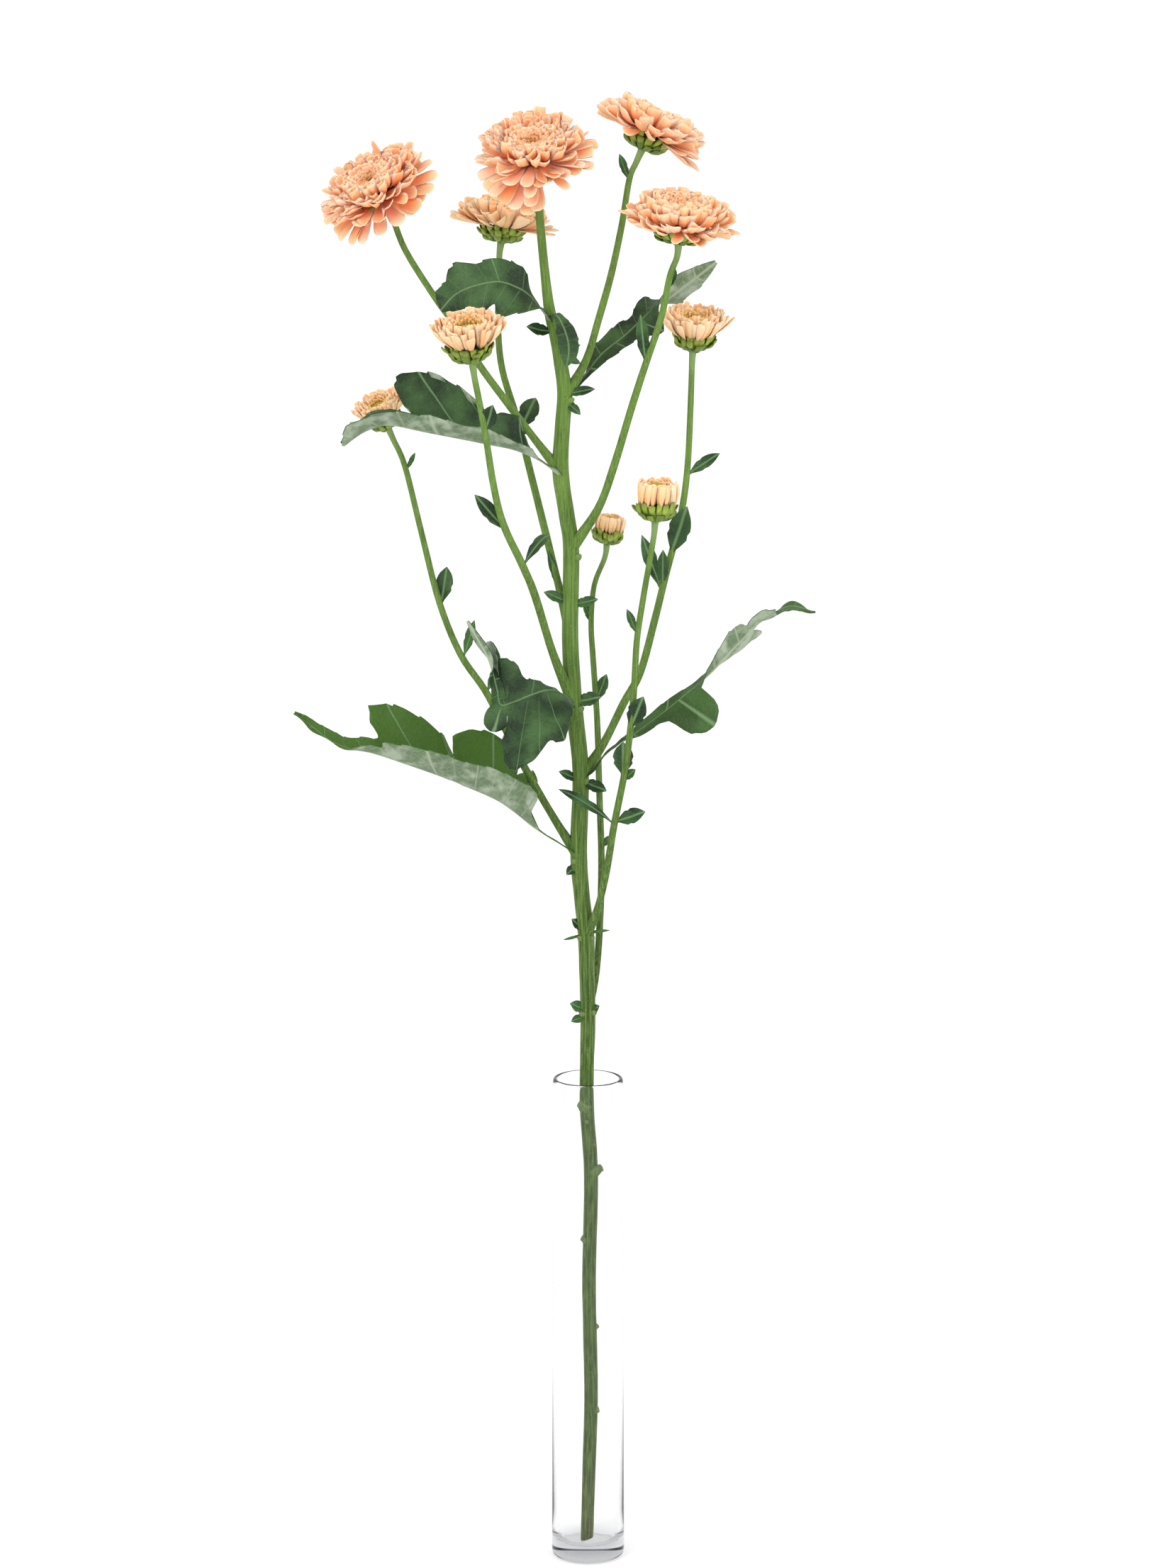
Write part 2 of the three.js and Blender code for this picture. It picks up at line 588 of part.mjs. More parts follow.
// The cut end slants: the lowest ring is lowered on the left and raised on the right.
function slantCut(rings) {
  const middle = MAIN_STEM[0][0];
  rings[0].forEach((point) => {
    point.z += (point.x - middle) * CUT_SLANT;
  });
  return rings;
}

// The last points under a head, straight along its axis, so that the stem meets it squarely.
function neck(head, radius) {
  const base = vec(head.base);
  const axis = vec(head.axis).normalize();
  const start = base.clone().addScaledVector(axis, -NECK);
  const end = base.clone().addScaledVector(axis, -GAP);
  return [[...start.toArray(), radius], [...end.toArray(), radius * NECK_FLARE]];
}

function sidePoints({ line, radii, head }) {
  const taper = line.map((point, place) =>
    [...point, lerp(radii[0], radii[1], place / (line.length - 1))]);
  return [...taper, ...neck(head, radii[1])];
}

// ---------------------------------------------------------------- large leaves

function largeLeaf({ spine, sweep, outline }) {
  const curve = curveThrough(spine);
  const normals = new THREE.CatmullRomCurve3(spine.map((row) => vec(row.slice(3))));
  const face = [];
  const back = [];
  for (const [share, leftWidth, leftFold, rightWidth, rightFold] of outline) {
    const centre = curve.getPoint(share);
    const tangent = curve.getTangent(share);
    const normal = normals.getPoint(share);
    normal.addScaledVector(tangent, -normal.dot(tangent)).normalize();
    const right = new THREE.Vector3().crossVectors(tangent, normal);
    // A half's edge, lifted off the half's own plane by `lift`.
    const edge = (sign, width, fold, lift) => {
      const [sine, cosine] = [Math.sin(degToRad(fold)), Math.cos(degToRad(fold))];
      return centre.clone()
        .addScaledVector(right, sign * (width * cosine - lift * sine))
        .addScaledVector(normal, width * sine + lift * cosine)
        .addScaledVector(tangent, width * sweep);
    };
    const lift = LEAF_THICKNESS / 2;
    face.push([edge(-1, leftWidth, leftFold, lift),
      centre.clone().addScaledVector(normal, lift),
      edge(1, rightWidth, rightFold, lift)]);
    back.push([edge(-1, leftWidth, leftFold, -lift),
      centre.clone().addScaledVector(normal, -MIDRIB_DEPTH),
      edge(1, rightWidth, rightFold, -lift)]);
  }
  return solidOf(slab(face, back));
}

// ---------------------------------------------------------------- heads

// A petal's sections beyond the panel of the receptacle that it grows from.
function petalSections(panel, [tilt, bend, length, width], sway, radius, stations) {
  const root = panel.reduce((sum, corner) => sum.add(corner), new THREE.Vector3()).divideScalar(4);
  const outward = root.clone().setZ(0).normalize();
  const lean = degToRad(tilt + PETAL_SWAY * sway);
  const petal = {
    root,
    heading: outward.clone().multiplyScalar(Math.sin(lean)).addScaledVector(UP, Math.cos(lean)),
    face: outward.clone().multiplyScalar(-Math.cos(lean)).addScaledVector(UP, Math.sin(lean)),
    length: length * radius * (1 + PETAL_UNEVENNESS * sway),
    bend,
  };
  return stations.map(([share, breadth]) =>
    stripSection(petal, share, breadth * width * radius, PETAL_THICKNESS));
}

// The ray petals of a head and the receptacle they grow from, as one body. Each ring of the
// receptacle has two points for each petal of a row. Between two rings every second panel is
// drawn out into a petal, and from row to row the petals move on by one panel.
function petalsGeometry({ petalsPerRow, rings, rows, open }, radius) {
  const sides = petalsPerRow * 2;
  const points = rings.flatMap(([reach, height], ring) =>
    Array.from({ length: sides }, (_, side) => {
      const angle = (2 * Math.PI * side) / sides + ring * RING_TWIST;
      return new THREE.Vector3(reach * Math.cos(angle), reach * Math.sin(angle), height)
        .multiplyScalar(radius);
    }));
  const index = [];
  const panel = ([a, b, c, d]) => index.push(a, b, c, a, c, d);
  rows.forEach((row, level) => {
    const stations = level === 0 && open ? OUTER_PETAL : INNER_PETAL;
    for (let side = 0; side < sides; side++) {
      const left = level * sides + side;
      const right = level * sides + ((side + 1) % sides);
      let edge = [left, right, right + sides, left + sides];
      if ((side + level) % 2 === 0) {
        const sway = Math.sin(side * 1.2 + level * 1.7);
        const root = edge.map((corner) => points[corner]);
        for (const section of petalSections(root, row, sway, radius, stations)) {
          const outer = section.map((point) => points.push(point) - 1);
          for (let corner = 0; corner < 4; corner++) {
            const next = (corner + 1) % 4;
            panel([edge[corner], edge[next], outer[next], outer[corner]]);
          }
          edge = outer;
        }
      }
      panel(edge);
    }
  });
  const top = rows.length * sides;
  for (let side = 1; side + 1 < sides; side++) {
    index.push(0, side + 1, side, top, top + side, top + side + 1);
  }
  return indexedGeometry(points, index);
}

// A knobbly dome: the points of its rings stand out and in by turns, as florets.
function discGeometry(radius, height) {
  return loft(DISC_LEVELS.map(([reach, level], ring) =>
    Array.from({ length: DISC_KNOBS * 2 }, (_, side) => {
      const angle = (Math.PI * side) / DISC_KNOBS;
      const knob = ring > 0 && (side + ring) % 2 ? 1 - DISC_KNOB_DEPTH : 1;
      const out = radius * reach * knob;
      return new THREE.Vector3(Math.cos(angle) * out, Math.sin(angle) * out, height * level * knob);
    })));
}

// The green cup of bracts under a head, with a lobe for each bract of its outer ring.
function calyxGeometry([radius, height], stemRadius) {
  const levels = [[stemRadius / radius, 0], ...CALYX_LEVELS];
  return loft(levels.map(([reach, level], ring) =>
    Array.from({ length: CALYX_BRACTS * 2 }, (_, side) => {
      const angle = (Math.PI * side) / CALYX_BRACTS;
      const out = radius * reach * (ring > 0 && side % 2 ? 1 - CALYX_LOBE : 1);
      return new THREE.Vector3(Math.cos(angle) * out, Math.sin(angle) * out, height * level);
    })));
}

// ---------------------------------------------------------------- the vase

function vaseGeometry() {
  const { height, baseRadius, neckRadius, beadRadius, wall, floor, floorRound, heel, rim } = VASE;
  const outer = (z) => lerp(baseRadius, neckRadius, z / height);
  const inner = (z) => outer(z) - wall;
  const profile = [
    [0, 0],
    [baseRadius - heel, 0],
    [baseRadius - heel * 0.3, heel * 0.3],
    [outer(heel), heel],
    [outer(height - rim), height - rim],
    [beadRadius, height - rim * 0.5],
    [beadRadius, height - rim * 0.2],
    [beadRadius - rim * 0.2, height],
    [inner(height) + rim * 0.1, height],
    [inner(height), height - rim * 0.3],
    [inner(height - rim), height - rim],
    [inner(floor + floorRound), floor + floorRound],
    [inner(floor) - floorRound * 0.28, floor + floorRound * 0.3],
    [inner(floor) - floorRound * 0.85, floor],
    [0, floor],
  ];
  const points = profile.map(([r, z]) => new THREE.Vector2(r, z));
  return new THREE.LatheGeometry(points, VASE.sides).rotateX(Math.PI / 2);
}

// ---------------------------------------------------------------- the spray in its vase

const spray = new THREE.Group();

function place(name, geometry, material, parent = spray) {
  const mesh = new THREE.Mesh(geometry, material);
  mesh.name = name;
  parent.add(mesh);
}

function placeHead(name, head, stemRadius) {
  const kind = HEAD_KINDS[head.kind];
  const young = head.kind === 'bud' || head.kind === 'half_open' || head.kind === 'rising';
  const [, calyxHeight] = head.calyx;
  const group = new THREE.Group();
  group.position.copy(vec(head.base));
  group.quaternion.setFromUnitVectors(UP, vec(head.axis).normalize());
  spray.add(group);

  place(`calyx_${name}`, calyxGeometry(head.calyx, stemRadius), FINISHES.calyx(), group);
  const petals = petalsGeometry(kind, head.radius).translate(0, 0, calyxHeight + GAP);
  place(`petals_${name}`, petals, young ? FINISHES.youngPetals() : FINISHES.petals(), group);
  const receptacleTop = kind.rings[kind.rings.length - 1][1] * head.radius;
  const disc = discGeometry(kind.disc.radius * head.radius, kind.disc.height * head.radius)
    .translate(0, 0, calyxHeight + GAP + receptacleTop + GAP);
  place(`disc_${name}`, disc, young ? FINISHES.youngDisc() : FINISHES.disc(), group);
}

place('vase', vaseGeometry(), FINISHES.glass());

const mainPoints = [...MAIN_STEM, ...neck(TOP_HEAD, MAIN_STEM[MAIN_STEM.length - 1][3])];
const mainClearance = solidOf(loft(stemRings(mainPoints, MAIN_SIDES, MAIN_RIDGE, GAP)));
const mainStem = joined([
  solidOf(loft(slantCut(stemRings(mainPoints, MAIN_SIDES, MAIN_RIDGE)))),
  ...stubs(mainPoints),
  ...leaflets(mainPoints, MAIN_LEAFLETS),
]);
place('main_stem', geometryOf(mainStem), FINISHES.stem());
placeHead('top', TOP_HEAD, MAIN_STEM[MAIN_STEM.length - 1][3] * NECK_FLARE);

const sideClearance = {};
for (const side of SIDE_STEMS) {
  const points = sidePoints(side);
  const bare = solidOf(loft(stemRings(points, SIDE_SIDES, 0)));
  const whole = joined([bare, ...leaflets(points, side.leaflets)]);
  sideClearance[side.name] = solidOf(loft(stemRings(points, SIDE_SIDES, 0, GAP)));
  place(`side_stem_${side.name}`, geometryOf(mainPiece(whole.subtract(mainClearance))),
    FINISHES.stem());
  placeHead(side.name, side.head, side.radii[1] * NECK_FLARE);
}

for (const leaf of LARGE_LEAVES) {
  const sideStem = sideClearance[leaf.joint];
  const clear = largeLeaf(leaf).subtract(mainClearance);
  const solid = mainPiece(sideStem ? clear.subtract(sideStem) : clear);
  place(`leaf_${leaf.name}`, geometryOf(solid), FINISHES.leaf());
}

export default spray;
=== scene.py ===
"""Spray chrysanthemum in a tall glass vase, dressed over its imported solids.

Tables are in millimetres and degrees, Blender's own sizes in metres. +Z is up, the front
looks along +Y.
"""

import math
import random
from bisect import bisect_right
from collections import namedtuple

import bmesh
import bpy
from bpy.props import FloatProperty, FloatVectorProperty, IntProperty, PointerProperty
from bpy.types import Operator, Panel, PropertyGroup
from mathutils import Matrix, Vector, noise


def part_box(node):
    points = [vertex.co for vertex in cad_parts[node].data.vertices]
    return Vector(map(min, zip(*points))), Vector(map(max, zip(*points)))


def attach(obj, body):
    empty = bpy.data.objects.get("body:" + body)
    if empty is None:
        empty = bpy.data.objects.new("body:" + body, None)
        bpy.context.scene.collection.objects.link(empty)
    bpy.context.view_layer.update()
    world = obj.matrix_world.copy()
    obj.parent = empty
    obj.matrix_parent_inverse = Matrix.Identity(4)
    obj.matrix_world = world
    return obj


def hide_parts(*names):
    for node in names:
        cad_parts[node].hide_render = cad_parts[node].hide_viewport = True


bl_info = {
    "name": "Spray chrysanthemum in a glass vase",
    "version": (1, 0, 0),
    "blender": (4, 5, 0),
    "location": "3D View > Sidebar > Flowers",
    "description": "Builds a branching chrysanthemum spray and its tube vase piece by piece",
    "category": "Add Mesh",
}

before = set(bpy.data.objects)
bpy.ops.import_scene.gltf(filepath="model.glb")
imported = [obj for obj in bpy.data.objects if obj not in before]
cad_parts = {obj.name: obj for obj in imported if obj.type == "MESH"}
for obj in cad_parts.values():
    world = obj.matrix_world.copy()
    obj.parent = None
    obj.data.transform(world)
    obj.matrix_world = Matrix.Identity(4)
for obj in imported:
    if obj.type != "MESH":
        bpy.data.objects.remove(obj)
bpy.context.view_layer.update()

MM = 0.001
UP = Vector((0, 0, 1))
BACK = Vector((0, 1, 0))


# ---------------------------------------------------------------- measures of the plant

# The main stem's centre line from the cut end to the topmost head: x, y, z, radius.
MAIN_STEM = [
    (-0.5, -6.5, 9.2, 2.9), (0.5, -4, 45, 3.1), (1.5, -1, 79, 3.2), (1, 1, 110, 3.2),
    (0.5, 3, 140, 3.2), (1.5, 7, 189, 3.3), (-0.5, 9.5, 222, 3.3), (-0.5, 11, 244, 3.3),
    (0, 12.5, 265, 3.5), (-0.5, 13, 290, 3.6), (-1, 13.5, 308, 3.8), (-3, 13.5, 327, 3.7),
    (-4.5, 13.5, 349, 3.9), (-3.5, 13, 387, 3.8), (-6.5, 13, 418, 3.9), (-8.5, 12.5, 452, 3.8),
    (-8, 12, 494, 3.7), (-10, 11.5, 511, 3.6), (-13, 10.5, 533, 3.7), (-12, 10, 555, 3.5),
    (-11, 9.5, 570, 3.4), (-13, 9, 585, 3.1), (-15, 8.5, 596, 2.8), (-18, 8, 609, 2.6),
    (-20, 7, 625, 2.1), (-22.5, 5, 652, 1.9),
]
CUT_SLANT = 0.45  # rise of the slanting cut end, per millimetre across
UNEVENNESS = 0.03  # of a stem's radius
NECK = 7  # length of stem under a head that is in line with the head's axis
NECK_FLARE = 1.3
PALE_NECK = 14  # length of stem under a head that is paler
FRESH_HEIGHT = 560 * MM  # where the stems have their fresh green
ROOT_FLARE = 1.5  # swelling of a side stem where it leaves the main stem

# Stubs of removed leaves: height, direction, length, radius.
STUBS = [
    (223, (-1, -0.35, 0.8), 4.8, 2.1), (216, (-0.1, -1, 0.3), 4.2, 0.9),
    (191, (1, -0.3, 0.6), 6.4, 1.9), (205, (1, -0.8, 0.2), 3.8, 0.8),
    (157, (-1, -0.2, 0.6), 4.6, 1.6), (113, (1, 0, 0.7), 5, 1.1), (73, (1, -0.2, 0.3), 4.2, 1.5),
]
# Share of a stub's length, share of its radius.
STUB_SHAPE = [(0, 1.8), (0.5, 1.5), (0.8, 1.05), (0.97, 1), (1, 0.6)]
# Dormant buds in the axils: height, direction, length, radius.
AXIL_BUDS = [
    (490, (1, -0.7, 0.6), 6.5, 1.9), (417, (1, -0.8, 0.5), 6, 1.7), (382, (0.8, -0.8, 0.5), 6, 1.6),
    (343, (-0.8, -0.8, 0.4), 6, 1.7), (305, (0.9, -0.7, 0.4), 5.5, 1.5),
    (305, (-0.9, -0.7, 0.4), 5.5, 1.5), (268, (0.9, -0.6, 0.5), 5.5, 1.6),
    (268, (-0.8, -0.7, 0.3), 5.5, 1.6), (566, (0.9, -0.6, 0.3), 6, 1.6),
]
AXIL_BUD_SHAPE = [(0, 1.1), (0.4, 1.1), (0.7, 1), (0.9, 0.65), (1, 0.15)]

# Leaflets: height on the stem, direction, length, width, bend (down is positive).
MAIN_LEAFLETS = [
    (270, (-1, -0.3, 0.5), 10, 6, 0), (268, (-0.9, -0.3, -0.3), 9, 4.5, 0),
    (269, (0.8, -0.3, 0.5), 8, 4.5, -20), (309, (-0.8, -0.3, 0.8), 10, 5, 0),
    (308, (-1, -0.2, -0.3), 12, 1.6, -20), (308, (0.9, -0.4, 0.3), 12, 1.8, 30),
    (343, (-0.7, -0.4, -0.6), 9, 5, 0), (383, (-0.8, -0.4, 0.5), 12, 5, 20),
    (383, (0.9, -0.5, -0.2), 14, 6.5, 20), (421, (0.8, -0.4, 0.3), 14, 7.5, 20),
    (469, (-0.9, -0.2, 0.5), 14, 5.5, 20), (468, (0.9, -0.3, 0.3), 14, 5.5, 10),
    (569, (0.9, -0.4, 0.35), 15, 5, 30), (567, (0.8, -0.6, -0.6), 11, 4.5, 20),
    (599, (-1, -0.2, 0.15), 14.5, 6.5, -20), (589, (1, 0.2, 0.3), 11, 3.6, -20),
    (588, (1, 0.1, -0.35), 11, 4, 10),
]
# Share of a leaflet's length, share of its width.
LEAFLET_OUTLINE = [(0, 0.16), (0.12, 0.14), (0.3, 0.62), (0.42, 0.9), (0.5, 0.82), (0.6, 1.0),
                   (0.7, 0.86), (0.8, 0.72), (0.9, 0.4), (1, 0.03)]
LIT_FACE = Vector((0, -0.85, 0.5))  # leaflets turn their upper face to the light

# Side stems from the lowest joint up: centre line, radius at the joint and under the head,
# leaflets, and the head: kind, place and axis of its calyx, radius, calyx radius and height.
SIDE_STEMS = {
    "1": dict(
        line=[(-1, 13, 268), (4, 20, 288), (6, 27, 317), (6.5, 32, 342), (5.5, 36, 372),
              (4.5, 39, 406), (2.5, 41, 437), (1.5, 42, 455), (3, 43, 473)],
        radii=(1.9, 1.3),
        leaflets=[(346, (0.6, 0, 0.8), 8, 3.5, 0), (416, (0.35, 0, 1), 15, 6, 10),
                  (454, (-0.3, 0.2, 1), 12, 3.5, 0)],
        head=("bud", (9, 43, 493), (0.15, -0.05, 1), 8.4, 7, 6)),
    "2": dict(
        line=[(-1, 13, 307), (4.5, 8, 321), (9, 2, 342), (12.5, -3, 365), (18, -8, 395),
              (21.5, -11, 428), (23, -13, 455), (26, -14, 476), (29.5, -15, 497)],
        radii=(1.9, 1.4),
        leaflets=[(366, (1, -0.3, 0.45), 16, 8, 10), (365, (-0.8, -0.3, 0.8), 32, 5, 70),
                  (388, (0, 0.5, 1), 18, 10, 0), (387, (0.7, -0.3, 0.7), 9, 4.5, 0),
                  (412, (0.35, -0.4, 1), 19, 9.5, 10), (458, (-0.4, -0.1, 1), 14, 4, 0)],
        head=("bud", (31.5, -16, 513), (0.08, -0.1, 1), 11.6, 9, 8)),
    "3": dict(
        line=[(-4.5, 13.5, 346), (-15.5, 15, 363), (-31, 17, 390), (-41, 19, 410),
              (-49.5, 21, 426), (-61, 22, 443), (-71, 23, 468), (-79.5, 24, 502),
              (-87, 25, 533)],
        radii=(2, 1.4),
        leaflets=[(424, (0.35, 0, 1), 16, 4, 20), (441, (0.3, -0.2, 1), 21, 5, -8),
                  (466, (0.15, 0.5, 1), 20, 8.5, 0), (531, (0.5, -0.1, 1), 10, 2.5, 0)],
        head=("half_open", (-95, 24, 552), (-0.35, -0.3, 0.88), 14.5, 7.4, 6)),
    "4": dict(
        line=[(-4, 13, 384), (7.5, 15, 401), (17, 17, 420), (25, 18, 435), (31.5, 18, 459),
              (37, 17, 482), (43.5, 16, 508), (47, 15, 532), (48.5, 14, 564)],
        radii=(2.1, 1.5),
        leaflets=[(474, (-0.35, 0, 1), 29, 7, 0), (476, (0, -0.4, 1), 21, 6, 0),
                  (491, (0.3, -0.3, 1), 27, 11, 5), (530, (1, -0.2, 0.8), 19, 6, 20)],
        head=("half_open", (49.5, 14, 590), (0.06, -0.2, 1), 18.5, 8.8, 7)),
    "5": dict(
        line=[(-7, 13, 421), (-16.5, 4, 446), (-25, -7, 476), (-30.5, -14, 491),
              (-39.5, -22, 512), (-44, -27, 531), (-48, -32, 558), (-52, -36, 580)],
        radii=(2.1, 1.5),
        leaflets=[(491, (0.5, -0.1, 1), 24, 5.5, 105), (508, (-0.7, -0.2, 0.9), 24, 7.5, 10),
                  (557, (0.3, -0.3, 1), 15, 8, -10)],
        head=("half_open", (-53.5, -39, 591), (-0.12, -0.25, 1), 20, 9.8, 8)),
    "6": dict(
        line=[(-8.5, 12.5, 456), (-14, 18, 477), (-21, 27, 504), (-28, 35, 531),
              (-34, 41, 554), (-41, 46, 577), (-43, 50, 597), (-42.5, 53, 617)],
        radii=(2, 1.5),
        leaflets=[(473, (-0.3, 0.2, 1), 22, 4, 0), (548, (0.4, 0, 1), 18, 10, 40)],
        head=("rising", (-41.5, 55, 637), (0.12, 0, 1), 24.5, 9.4, 7)),
    "7": dict(
        line=[(-9, 12, 494), (4.5, 6, 515), (12, 0, 536), (21, -6, 567), (27.5, -11, 588),
              (34, -15, 608), (38, -18, 628)],
        radii=(2.1, 1.5),
        leaflets=[(586, (-0.1, -0.3, 1), 25, 6.5, 5), (621, (0.4, 0.4, 1), 12, 4.5, 0)],
        head=("incurved", (42, -20, 644), (0.1, -0.2, 1), 26.5, 9.8, 7.5)),
    "8": dict(
        line=[(-12.5, 10.5, 532), (-23.5, 10, 546), (-38.5, 10, 566), (-51.5, 9, 584),
              (-61.5, 8, 601), (-72, 6, 616), (-85.5, 4, 638)],
        radii=(2, 1.5),
        leaflets=[(551, (-1, -0.4, 0.1), 10, 2.5, 0)],
        head=("open", (-95, 0, 660), (-0.45, -0.42, 0.78), 27, 9.8, 7)),
    "9": dict(
        line=[(-11, 9, 568), (-1, 14, 585), (5, 19, 604), (11, 23, 625), (16, 27, 648),
              (19.5, 30, 669)],
        radii=(2, 1.5),
        leaflets=[(668, (-0.35, -0.1, 1), 14, 4, 0)],
        head=("incurved", (25.5, 32, 683), (0.4, 0.08, 0.9), 26.5, 9.6, 7)),
}
TOP_HEAD = ("open", (-24, 2, 675.5), (-0.12, -0.42, 0.87), 28, 9.8, 7)
Head = namedtuple("Head", "name kind base axis radius calyx_radius calyx_height")
HEADS = {"top": Head("top", *TOP_HEAD),
         **{name: Head(name, *side["head"]) for name, side in SIDE_STEMS.items()}}
YOUNG_KINDS = ("rising", "half_open", "bud")

